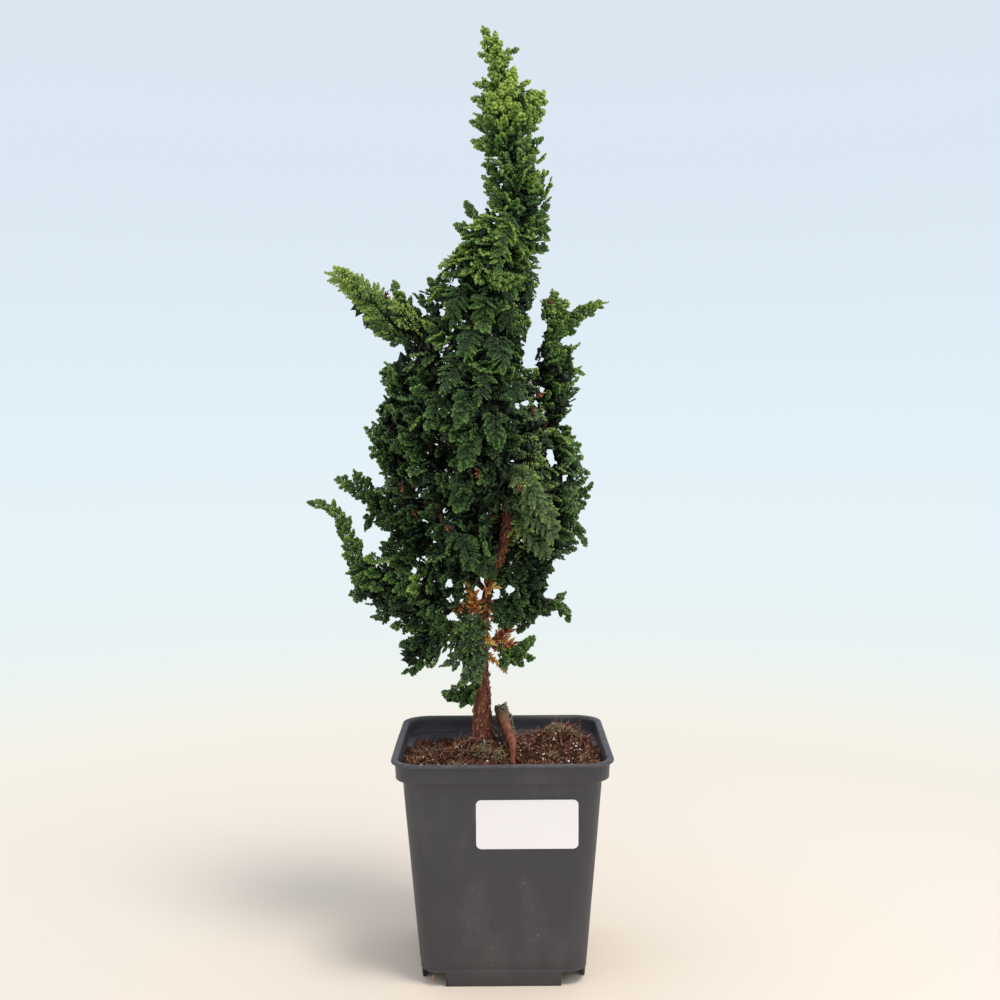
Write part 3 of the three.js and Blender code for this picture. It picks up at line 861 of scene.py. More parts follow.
grit_finish = litter_finish("pale_grit", (0.60, 0.48, 0.38), (0.97, 0.94, 0.90), 0.5)
strew("pale_grit", [rough_lump("grit_a", 0.62, 0.8, 8, 0.5), rough_lump("grit_b", 0.5, 0.7, 9, 0.5)],
      22000, 0.25, 1.25, 0.5, -0.3 * MM, 41, grit_finish)

# Longer roots that curl up against the wall and over the mound at the back right: x and y in mm, how many,
# their length, and how much they curl.
LOOSE_ROOTS = (
    (46, -22, 10, 8, 0.6), (46, -8, 9, 8, 0.6), (45.5, 3, 6, 8, 0.6), (-46, -16, 8, 7, 0.6),
    (-46, -28, 8, 7, 0.6), (-19, -2, 8, 8, 0.5), (-15, -9, 6, 7, 0.5), (44, 4, 6, 11, 0.5),
    (45, 16, 5, 8, 0.6), (44, -14, 6, 10, 0.5), (36, 24, 9, 7, 0.65), (26, 26, 7, 6.5, 0.65),
    (44, 28, 5, 7, 0.6), (27, -19, 2, 13, 0.2), (-40, 26, 5, 12, 0.45), (-30, 20, 5, 11, 0.5),
    (-42, 5, 4, 10, 0.5), (10, 20, 6, 8, 0.5), (16, -4, 5, 9, 0.5), (-15, -3, 16, 8, 0.6),
    (-6, -5, 12, 8, 0.6), (-20, 4, 10, 9, 0.6), (8, -8, 8, 8, 0.6), (2, -4, 14, 7, 0.6), (6, 0, 12, 7, 0.6),
    (-13, 3, 10, 9, 0.5),
)
# The root that hangs out of the pot's cut-away front left corner, from foot to tip: x, y and z in mm.
ESCAPED_ROOT = (
    (-31.0, -36.5, 8.0), (-33.5, -39.0, 7.2), (-35.0, -40.5, 5.6), (-35.6, -41.2, 3.6), (-34.6, -41.5, 2.0),
)
LOOSE_ROOT_THICKNESS, ESCAPED_ROOT_THICKNESS = 0.19, 0.42


def loose_roots():
    """Curled roots that stand up out of the crust, and the one that has found its way out of the pot."""
    rng = np.random.default_rng(7)
    points, faces, tones = [], [], []
    strands = [([np.array(point) + HEART for point in ESCAPED_ROOT], ESCAPED_ROOT_THICKNESS)]
    for x, y, count, length, curl in LOOSE_ROOTS:
        for _ in range(count):
            spot = x + rng.normal(0, 3), y + rng.normal(0, 3)
            hit = plumb(SOIL_TREE, *spot)
            if hit:
                start = HEART + (*spot, hit.z / MM - 0.4)
                heading = unit(rng.normal(0, 1, 3) + (0, 0, 0.5))
                line = wandering(rng, start, heading, length * rng.uniform(0.6, 1.1), curl * 1.4)
                strands.append((line, LOOSE_ROOT_THICKNESS))
    for line, thickness in strands:
        radii = [thickness * (1.1 - 0.8 * step / len(line)) for step in range(len(line))]
        vertices, sides = strand(line, radii, 4)
        faces.extend([[len(points) + index for index in face] for face in sides])
        points.extend(Vector(vertex) * MM for vertex in vertices)
        tones.extend([rng.uniform(0.15, 0.7)] * len(vertices))
    mesh = bpy.data.meshes.new("loose_roots")
    mesh.from_pydata(points, [], faces)
    mesh.attributes.new("tone", "FLOAT", "POINT").data.foreach_set("value", tones)
    mesh.shade_smooth()
    keep_in_pot(mesh)
    return mesh


def unit(vectors):
    return vectors / np.maximum(np.linalg.norm(vectors, axis=-1, keepdims=True), 1e-9)


strands = new_object("loose_roots", loose_roots(), fibre_finish)
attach(strands, "root")


# ---- Trunk, roots and branches ----
# One leaning trunk in flaking red-brown bark, with a root that arches out over the soil, a dead stub grown
# over with lichen, and the branches that carry the crown. Bark gives way to green skin towards the tips.
WOOD = sorted(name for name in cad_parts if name.startswith("branch_"))


def mesh_arrays(mesh):
    """A mesh's places and normals, in metres."""
    count = len(mesh.vertices)
    places, normals = np.empty(count * 3, np.float32), np.empty(count * 3, np.float32)
    mesh.vertices.foreach_get("co", places)
    mesh.vertex_normals.foreach_get("vector", normals)
    return places.reshape(count, 3).astype(float), normals.reshape(count, 3).astype(float)


def rounded_wood(name, node, levels, swell, bark_depth, bark_waves, finish):
    """A CAD limb smoothed round, then roughened along its normals. swell and bark_depth are in mm, and swell
    may be given as heights and what it is at each."""
    shell = bmesh.new()
    shell.from_mesh(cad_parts[node].data)
    bmesh.ops.remove_doubles(shell, verts=shell.verts, dist=0.02 * MM)
    bmesh.ops.join_triangles(shell, faces=shell.faces, angle_face_threshold=0.6, angle_shape_threshold=1.2)
    mesh = bpy.data.meshes.new(name)
    shell.to_mesh(mesh)
    shell.free()
    piece = new_object(name, mesh)
    rounding = piece.modifiers.new("rounding", "SUBSURF")
    rounding.levels = rounding.render_levels = levels
    plain_result(piece)
    places, normals = mesh_arrays(piece.data)
    heights, amounts = swell if isinstance(swell, tuple) else ((0, 1), (swell, swell))
    swells = np.interp(places[:, 2] / MM, heights, amounts)
    for index, (place, normal) in enumerate(zip(places, normals)):
        at = Vector(place / MM)
        long_grain = Vector((at.x * bark_waves, at.y * bark_waves, at.z * bark_waves * 0.45))
        rough = noise.fractal(long_grain, 1.0, 2.2, 4)
        places[index] = place + normal * (swells[index] + bark_depth * rough) * MM
    piece.data.vertices.foreach_set("co", places.astype(np.float32).ravel())
    piece.data.shade_smooth()
    piece.data.materials.clear()
    piece.data.materials.append(finish)
    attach(piece, "root")
    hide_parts(node)
    return piece


def bark_finish(name, dark, middle, light, lichen=0.0):
    """Flaking bark, green-skinned high up and streaked with grey lichen."""
    material, graph = new_finish(name)
    height = graph.split(graph.object_place()).out("Z")
    strands = graph.grain(700, 5, 0.65, graph.object_place((1, 1, 0.3)))
    push = graph.vector_maths("SCALE", (1, 1, 0.4), Scale=strands * 0.0035)
    warped = graph.vector_maths("ADD", graph.object_place((1, 1, 0.3)), push)
    plates = graph.node("ShaderNodeTexVoronoi", {"feature": "DISTANCE_TO_EDGE"}, {
        "Vector": warped, "Scale": 560.0}, "Distance")
    cracks = graph.step(plates, 0.0, 0.22)
    patches = graph.grain(130, 3, 0.6)
    along = graph.attribute("along")
    # Only the bark flakes carry along: it paints them lighter towards their tips, a painted highlight.
    shade = graph.clamp(strands * 0.95 + cracks * 0.16 + along * 0.35 - 0.14)
    bark = graph.ramp(shade, (0.15, dark), (0.45, middle), (0.8, light))
    growth = graph.step(patches, 0.58 - lichen * 0.5, 0.70 - lichen * 0.5) * graph.step(strands, 0.35, 0.6)
    grown = graph.blend(growth * (0.35 + 0.5 * lichen), bark, (0.20, 0.20, 0.145))
    young = graph.step(height + patches * 0.06, 0.36, 0.45)
    skin = graph.blend(young * 0.85, grown, (0.13, 0.16, 0.035))
    relief = strands * 0.6 + cracks * 0.4
    graph.finish_with(graph.surface(skin, 0.72 + strands * 0.2, relief, 0.5 * MM))
    return material


def root_finish():
    """Smooth root bark: greenish yellow where it bends over at the top, orange brown and glossy below."""
    material, graph = new_finish("root_bark")
    height = graph.split(graph.object_place()).out("Z")
    grain = graph.grain(500, 5, 0.6, graph.object_place((1, 1, 0.4)))
    brown = graph.ramp(
        grain,
        (0.3, (0.062, 0.015, 0.006)),
        (0.5, (0.18, 0.043, 0.016)),
        (0.7, (0.34, 0.105, 0.042)),
    )
    green = graph.blend(grain, (0.060, 0.036, 0.016), (0.18, 0.125, 0.055))
    top = graph.step(height + grain * 0.006, 0.126, 0.134)
    colour = graph.blend(top * 0.8, brown, green)
    graph.finish_with(graph.surface(colour, 0.45, grain, 0.3 * MM, specular=0.35))
    return material


def twig_finish():
    """Thin branches: brown near the trunk, olive green where they are young."""
    material, graph = new_finish("twig_bark")
    grain = graph.grain(600, 4, 0.6)
    aside = graph.maths("ABSOLUTE", graph.split(graph.object_place()) - POT_X)
    outer = graph.step(aside + grain * 0.012, 0.040, 0.070)
    brown = graph.blend(grain, (0.050, 0.018, 0.010), (0.20, 0.085, 0.045))
    green = graph.blend(grain, (0.085, 0.11, 0.020), (0.19, 0.21, 0.045))
    graph.finish_with(graph.surface(graph.blend(outer, brown, green), 0.7, grain, 0.2 * MM))
    return material


bark = bark_finish("trunk_bark", (0.045, 0.012, 0.006), (0.24, 0.060, 0.028), (0.56, 0.23, 0.12))
root_bark = root_finish()
stub_bark = bark_finish("stub_bark", (0.016, 0.008, 0.005), (0.075, 0.036, 0.020), (0.30, 0.19, 0.12), 0.2)
twig_bark = twig_finish()
# How far each is let out or drawn in, in mm, at some heights, and how far the root is shifted in x.
TRUNK_SWELL = ((100, 108, 118, 140, 160, 175, 200, 215), (1.3, 0.9, 0.3, 0.1, -0.3, -0.9, -0.8, 0.1))
ROOT_SWELL = ((100, 109, 114, 120, 128, 136), (-0.5, -0.4, 0.0, 0.45, 0.75, 0.5))
ROOT_SHIFT = ((104, 108, 116, 126), (-1.0, -1.0, 0.8, 0.0))
STUB_SWELL = ((100, 128, 133, 138), (0.3, 0.2, -0.5, -1.2))
trunk = rounded_wood("trunk_wood", "trunk", 3, TRUNK_SWELL, 0.75, 0.55, bark)
root = rounded_wood("arching_root", "surface_root", 3, ROOT_SWELL, 0.3, 0.5, root_bark)
for vertex in root.data.vertices:
    vertex.co.x += float(np.interp(vertex.co.z / MM, *ROOT_SHIFT)) * MM
stub = rounded_wood("mossy_stub", "root_stub", 3, STUB_SWELL, 1.3, 0.45, stub_bark)
for node in WOOD:
    rounded_wood(node.replace("branch_", "limb_"), node, 1, 0.2, 0.25, 0.5, twig_bark)


# ---- Foliage ----
# Scale-leaved fronds in fans. Each small lobe is a shoot wrapped in scale leaves, and is one of two shapes
# repeated by Geometry Nodes at places that are worked out first. One piece of sprays stands for each CAD
# mass.
SPRAYS = sorted(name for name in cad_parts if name.startswith("foliage_"))
CELL_USED = 0.86


def lobe_tree():
    """Puts a lobe at every point, slim or blunt, turned to its heading and facing, with a cell of the map."""
    graph, given = geometry_graph("scale_lobes", {"Cells Across": "Float", "Finish": "Material"})

    def point_value(name, kind="FLOAT_VECTOR"):
        return graph.node("GeometryNodeInputNamedAttribute", {"data_type": kind}, {"Name": name})

    def keep(geometry, name, value, kind="FLOAT", domain="POINT"):
        settings = {"data_type": kind, "domain": domain}
        values = {"Geometry": geometry, "Name": name, "Value": value}
        return graph.node("GeometryNodeStoreNamedAttribute", settings, values)

    def lobe(belly_power, girth):
        """A four-sided spindle one unit long, from its foot at the origin to its tip at +Z."""
        ball = graph.node("GeometryNodeMeshUVSphere", values={"Segments": 4, "Rings": 2, "Radius": 1.0})
        place = graph.split(graph.node("GeometryNodeInputPosition"))
        along = ((place.out("Z") + 1.0) * 0.5) ** belly_power
        moved = graph.node("ShaderNodeCombineXYZ", values={
            "X": place.out("X") * girth, "Y": place.out("Y") * girth, "Z": along})
        shaped = graph.node("GeometryNodeSetPosition", values={"Geometry": ball, "Position": moved})
        now = graph.split(graph.node("GeometryNodeInputPosition"))
        shaped = keep(shaped, "along", now.out("Z"))
        shaped = keep(shaped, "lobe_map", ball.out("UV Map"), "FLOAT2", "CORNER")
        return graph.node("GeometryNodeGeometryToInstance", values={"Geometry": shaped})

    kinds = graph.node("GeometryNodeJoinGeometry")
    for shape in (lobe(0.5, 0.56), lobe(1.1, 0.52)):
        graph.tree.links.new(shape.socket, kinds.socket.node.inputs[0])
    turned = graph.node("FunctionNodeAxesToRotation", {"primary_axis": "Z", "secondary_axis": "X"}, {
        "Primary Axis": point_value("heading"), "Secondary Axis": point_value("facing")})
    copies = graph.node("GeometryNodeInstanceOnPoints", values={
        "Points": given, "Instance": kinds, "Pick Instance": True,
        "Instance Index": point_value("shape", "INT"), "Rotation": turned, "Scale": point_value("size")})
    whole = graph.node("GeometryNodeRealizeInstances", values={"Geometry": copies})
    margin = (1 - CELL_USED) / 2
    inside = graph.vector_maths(
        "MULTIPLY_ADD", point_value("lobe_map"), (CELL_USED, CELL_USED, 0), (margin, margin, 0))
    cell = graph.vector_maths("ADD", point_value("cell"), inside)
    spread = graph.vector_maths("SCALE", cell, Scale=graph.maths("DIVIDE", 1.0, given.out("Cells Across")))
    mapped = keep(whole, "OFBake", spread, "FLOAT2", "CORNER")
    values = {"Geometry": mapped, "Material": given.out("Finish")}
    coated = graph.node("GeometryNodeSetMaterial", values=values)
    soft = graph.node("GeometryNodeSetShadeSmooth", values={"Geometry": coated, "Shade Smooth": True})
    graph.node("NodeGroupOutput", values={"Geometry": soft})
    return graph.tree


LOBES = lobe_tree()


def lobe_piece(name, lobes, finish):
    """Makes one mesh of lobes from their arrays: place, heading, facing and size in mm, and shades."""
    count = len(lobes["place"])
    across = math.ceil(math.sqrt(count))
    index = np.arange(count)
    lobes["cell"] = np.stack([index % across, index // across, np.zeros(count)], axis=1)
    mesh = bpy.data.meshes.new(name)
    mesh.from_pydata((lobes["place"] * MM).tolist(), [], [])
    for key in ("heading", "facing", "size", "cell"):
        values = lobes[key] * (MM if key == "size" else 1)
        layer = mesh.attributes.new(key, "FLOAT_VECTOR", "POINT")
        layer.data.foreach_set("vector", values.astype(np.float32).ravel())
    for key in ("tone", "bloom", "rust"):
        layer = mesh.attributes.new(key, "FLOAT", "POINT")
        layer.data.foreach_set("value", lobes[key].astype(np.float32))
    layer = mesh.attributes.new("shape", "INT", "POINT")
    layer.data.foreach_set("value", lobes["blunt"].astype(np.int32))
    piece = new_object(name, mesh)
    run_tree(piece, LOBES, cells_across=float(across), finish=finish)
    for key in ("heading", "facing", "size", "cell", "shape", "lobe_map"):
        layer = piece.data.attributes.get(key)
        if layer:
            piece.data.attributes.remove(layer)
    return piece


# A frond's pattern is laid flat with its tip along +x. Each row is one lobe: x, y, its angle in the sheet and
# its lift out of it, its length and width in mm, how much lighter than the frond it is, and whether it is
# blunt.
def stalk_rows(reach, width, lobes=3):
    rows = []
    for step in range(lobes):
        share = step / lobes
        rows.append((reach * share * 0.92, 0, 0, 0.08, reach / lobes * 1.25, width, 0.25 * share - 0.05, 0))
    return rows


def feather(rng, reach, spacing, side, width):
    """A slim frond, with a lobe on each side at even steps like the barbs of a feather."""
    rows = stalk_rows(reach, width * 1.05)
    count = 2 * round(0.86 * reach / spacing)
    for step in range(count):
        share = (step + 0.5) / count
        angle = (1 if step % 2 else -1) * math.radians(rng.normal(58 - 24 * share, 4))
        length = side * min(1, 0.7 + 1.6 * share) * (1 - 0.5 * share ** 2) * rng.uniform(0.88, 1.12)
        rows.append((reach * (0.05 + 0.85 * share), 0, angle, math.radians(rng.normal(8, 6)), length, width,
                     0.26 * share - 0.1 + rng.normal(0, 0.05), 0))
    rows.append((reach * 0.84, 0, 0, 0.1, reach * 0.16 + 0.8, width * 1.2, 0.2, 1))
    return np.array(rows)


def fan(rng, reach, side, width):
    """A broad feather, whose branchlets each have a pair of small teeth."""
    rows = stalk_rows(reach, 1.2)
    count = 2 * round(0.42 * reach) + 1
    for step in range(count):
        share = (step + 0.5) / count
        angle = (1 if step % 2 else -1) * math.radians(rng.normal(56 - 22 * share, 4))
        if step == count - 1:
            angle = 0.0
        lift = math.radians(rng.normal(7, 6))
        length = side * min(1, 0.75 + 1.2 * share) * (1 - 0.5 * share ** 2) * rng.uniform(0.9, 1.1)
        start = reach * (0.06 + 0.76 * share)
        light = 0.24 * share - 0.1 + rng.normal(0, 0.04)
        rows.append((start, 0, angle, lift, length, width, light, 1))
        x, y = start + 0.38 * length * math.cos(angle), 0.38 * length * math.sin(angle)
        for turn in (-0.8, 0.8):
            rows.append((x, y, angle + turn, lift, length * 0.44, width * 0.72, light + 0.05, 1))
    return np.array(rows)


def fingers(rng, reach, side, width):
    """A rounded frond, whose side branchlets each end in three blunt lobes."""
    rows = stalk_rows(reach, 1.2)
    count = 2 * round(reach / 2.9)
    for step in range(count + 1):
        share = (step + 0.5) / (count + 1)
        tip = step == count
        angle = 0 if tip else (1 if step % 2 else -1) * math.radians(rng.normal(60 - 26 * share, 6))
        lift = math.radians(rng.normal(10, 10))
        length = side * (1 - 0.42 * share) * rng.uniform(0.88, 1.12)
        start = reach * (0.08 + 0.74 * share)
        rows.append((start, 0, angle, lift, length * 0.66, width * 0.75, 0.2 * share - 0.12, 0))
        for turn, part, run in ((0, 0.48, 0.54), (-1, 0.36, 0.46), (1, 0.36, 0.46)):
            x, y = start + part * length * math.cos(angle), part * length * math.sin(angle)
            fork = angle + turn * math.radians(rng.normal(44, 6))
            fork_lift = lift + rng.normal(0.05, 0.15)
            wide = width * (1 if turn else 1.08)
            light = 0.2 * share + rng.normal(0.03, 0.05)
            rows.append((x, y, fork, fork_lift, run * length, wide, light, 1))
    return np.array(rows)


def rosette(rng, reach, width):
    """A growing tip: a short stalk that opens into blunt lobes all round."""
    rows = stalk_rows(reach * 0.7, 1.3, 2)
    for count, spread, start, length in ((4, 66, 0.25, 0.36), (6, 42, 0.42, 0.42), (1, 0, 0.58, 0.44)):
        for step in range(count):
            turn = 2 * math.pi * (step + rng.uniform(-0.2, 0.2)) / count + spread
            lean = math.radians(spread)
            aside, lift = math.sin(lean) * math.cos(turn), math.sin(lean) * math.sin(turn)
            rows.append((reach * start, 0, math.atan2(aside, math.cos(lean)), math.asin(lift), reach * length,
                         width, 0.25 - 0.003 * spread + rng.normal(0, 0.05), 1))
    return np.array(rows)


def lay_fronds(rng, fronds, reach, pattern):
    """Lays one pattern along every frond given, bent and cupped, and returns the arrays of their lobes."""
    x, y, angle, lift, length, width, lighter, blunt = pattern.T
    scale = (fronds["reach"] / reach)[:, None]
    bend, cup = fronds["bend"][:, None], fronds["cup"][:, None]
    x, y = x * scale, y * scale
    ahead, aside, up = (fronds[key][:, None] for key in ("ahead", "aside", "up"))
    raised = bend * x ** 2 + cup * y ** 2
    place = fronds["base"][:, None] + ahead * x[..., None] + aside * y[..., None] + up * raised[..., None]
    slope_x, slope_y = (2 * bend * x)[..., None], (2 * cup * y)[..., None]
    flat = np.cos(lift)
    cos, sin = (flat * np.cos(angle))[:, None], (flat * np.sin(angle))[:, None]
    heading = cos * (ahead + up * slope_x) + sin * (aside + up * slope_y) + up * np.sin(lift)[:, None]
    facing = up - ahead * slope_x - aside * slope_y
    heading = unit(unit(heading) + rng.normal(0, 0.06, heading.shape))
    facing = unit(unit(facing) + rng.normal(0, 0.18, facing.shape))
    wide = width * scale ** 0.4 * rng.uniform(0.88, 1.12, x.shape)
    size = np.stack([wide * 0.62, wide, length * scale * rng.uniform(0.9, 1.1, x.shape)], axis=-1)
    whole = lambda values: np.broadcast_to(values, x.shape).ravel().copy()
    return {
        "place": place.reshape(-1, 3),
        "heading": heading.reshape(-1, 3),
        "facing": facing.reshape(-1, 3),
        "size": size.reshape(-1, 3),
        "tone": (fronds["tone"][:, None] + lighter + rng.normal(0, 0.05, x.shape)).ravel(),
        "bloom": whole(fronds["bloom"][:, None]),
        "rust": whole(fronds["rust"][:, None]),
        "blunt": whole(blunt),
        "owner": whole(fronds["owner"][:, None]),
    }


# How the sprays of each mass grow, where it differs from the rest. out, along, splay and sag weigh the skin's
# normal, the mass's own axis, the way from the trunk and gravity. gap is the least space between frond tips
# and reach a frond's length, in mm. tone is how light the mass is, tip_tone how much lighter its far end,
# deep how much of the inner layer's painted shade its inner fronds take, and bloom how waxy it is. slim,
# broad, round and tuft are the shares of the kinds of frond. Fronds on the skin grow only right of from_x
# and below to_z: beyond them the shoots listed further down carry the sprays.
COMMON = {"out": 0.45, "along": 0.25, "splay": 0.45, "sag": 0.40, "gap": 5.75, "reach": 11.0, "tone": 0.31,
          "tip_tone": 0.05, "slim": 0.15, "broad": 0.25, "round": 0.6, "tuft": 0.0, "bloom": 0.08,
          "deep": 1.0, "from_x": -200, "to_z": 500}
UPPER = {"splay": 0.6, "sag": 0.45, "reach": 14.0, "gap": 5.95, "tone": 0.55, "slim": 0.35, "broad": 0.65,
         "round": 0.0}
TIP = {"out": 0.5, "along": 0.85, "splay": 0.1, "sag": 0.0, "gap": 4.8, "reach": 8.5, "slim": 0.3,
       "round": 0.5, "tuft": 0.2}
SHOOTS_ONLY = {"to_z": 0}
GROWTH = {
    "foliage_apex": {**TIP, "out": 0.7, "reach": 9.0, "tone": 0.77, "tip_tone": 0.12, "to_z": 447},
    "foliage_spire": {**TIP, "out": 0.75, "along": 0.45, "sag": 0.1, "reach": 10.5, "tone": 0.49,
                      "tip_tone": 0.1, "gap": 4.9, "slim": 0.35, "broad": 0.3, "round": 0.25, "tuft": 0.1},
    "foliage_upper_front": UPPER,
    "foliage_upper_back": UPPER,
    "foliage_shoulder_left": {"along": 0.6, "sag": 0.1, "tone": 0.32},
    "foliage_wing_left": {"along": 0.7, "splay": 0.2, "sag": 0.2, "gap": 5.2, "reach": 11.0, "tone": 0.73,
                          "tip_tone": 0.04, "bloom": 0.32, "deep": 0.3, "slim": 0.5, "broad": 0.4,
                          "round": 0.1, "from_x": -58},
    "foliage_wing_small": SHOOTS_ONLY,
    "foliage_centre_front": {**UPPER, "reach": 12.5, "tone": 0.27, "round": 0.4, "gap": 6.3},
    "foliage_centre_back": {**UPPER, "reach": 12.5, "tone": 0.34, "round": 0.4, "gap": 6.5},
    "foliage_left_inner": {"tone": 0.30, "sag": 0.3},
    "foliage_left_mid": {"sag": 0.1, "tone": 0.33, "bloom": 0.25},
    "foliage_right_column": {"along": 0.5, "sag": 0.1, "gap": 5.2, "reach": 9.5, "tone": 0.40},
    "foliage_right_tip": SHOOTS_ONLY,
    "foliage_right_mid": {"sag": 0.3, "tone": 0.36, "bloom": 0.35},
    "foliage_right_front": {"sag": 0.45, "tone": 0.72, "tip_tone": -0.22, "bloom": 1.0, "slim": 0.95,
                            "broad": 0.05, "round": 0, "reach": 14.0, "gap": 4.9},
    "foliage_left_low": {"sag": 0.2, "tone": 0.31, "reach": 9.5, "round": 0.85, "gap": 5.8},
    "foliage_left_low_tip": SHOOTS_ONLY,
    "foliage_left_second": {**TIP, "sag": 0.2, "tone": 0.32, "round": 0.9, "gap": 5.6, "from_x": -62},
    "foliage_left_bottom": {"along": 0.7, "sag": 0.3, "reach": 9.0, "gap": 5.4, "tone": 0.32, "from_x": -38},
    "foliage_right_low": {"sag": 0.2, "tone": 0.22},
    "foliage_right_low_tip": SHOOTS_ONLY,
    "foliage_front_low": {"tone": 0.24},
    "foliage_low_sprig": SHOOTS_ONLY,
    "foliage_right_sprig": SHOOTS_ONLY,
    "foliage_trunk_side": {"sag": 0.6, "reach": 8.0, "gap": 5.2, "tone": 0.34, "bloom": 0.7},
}

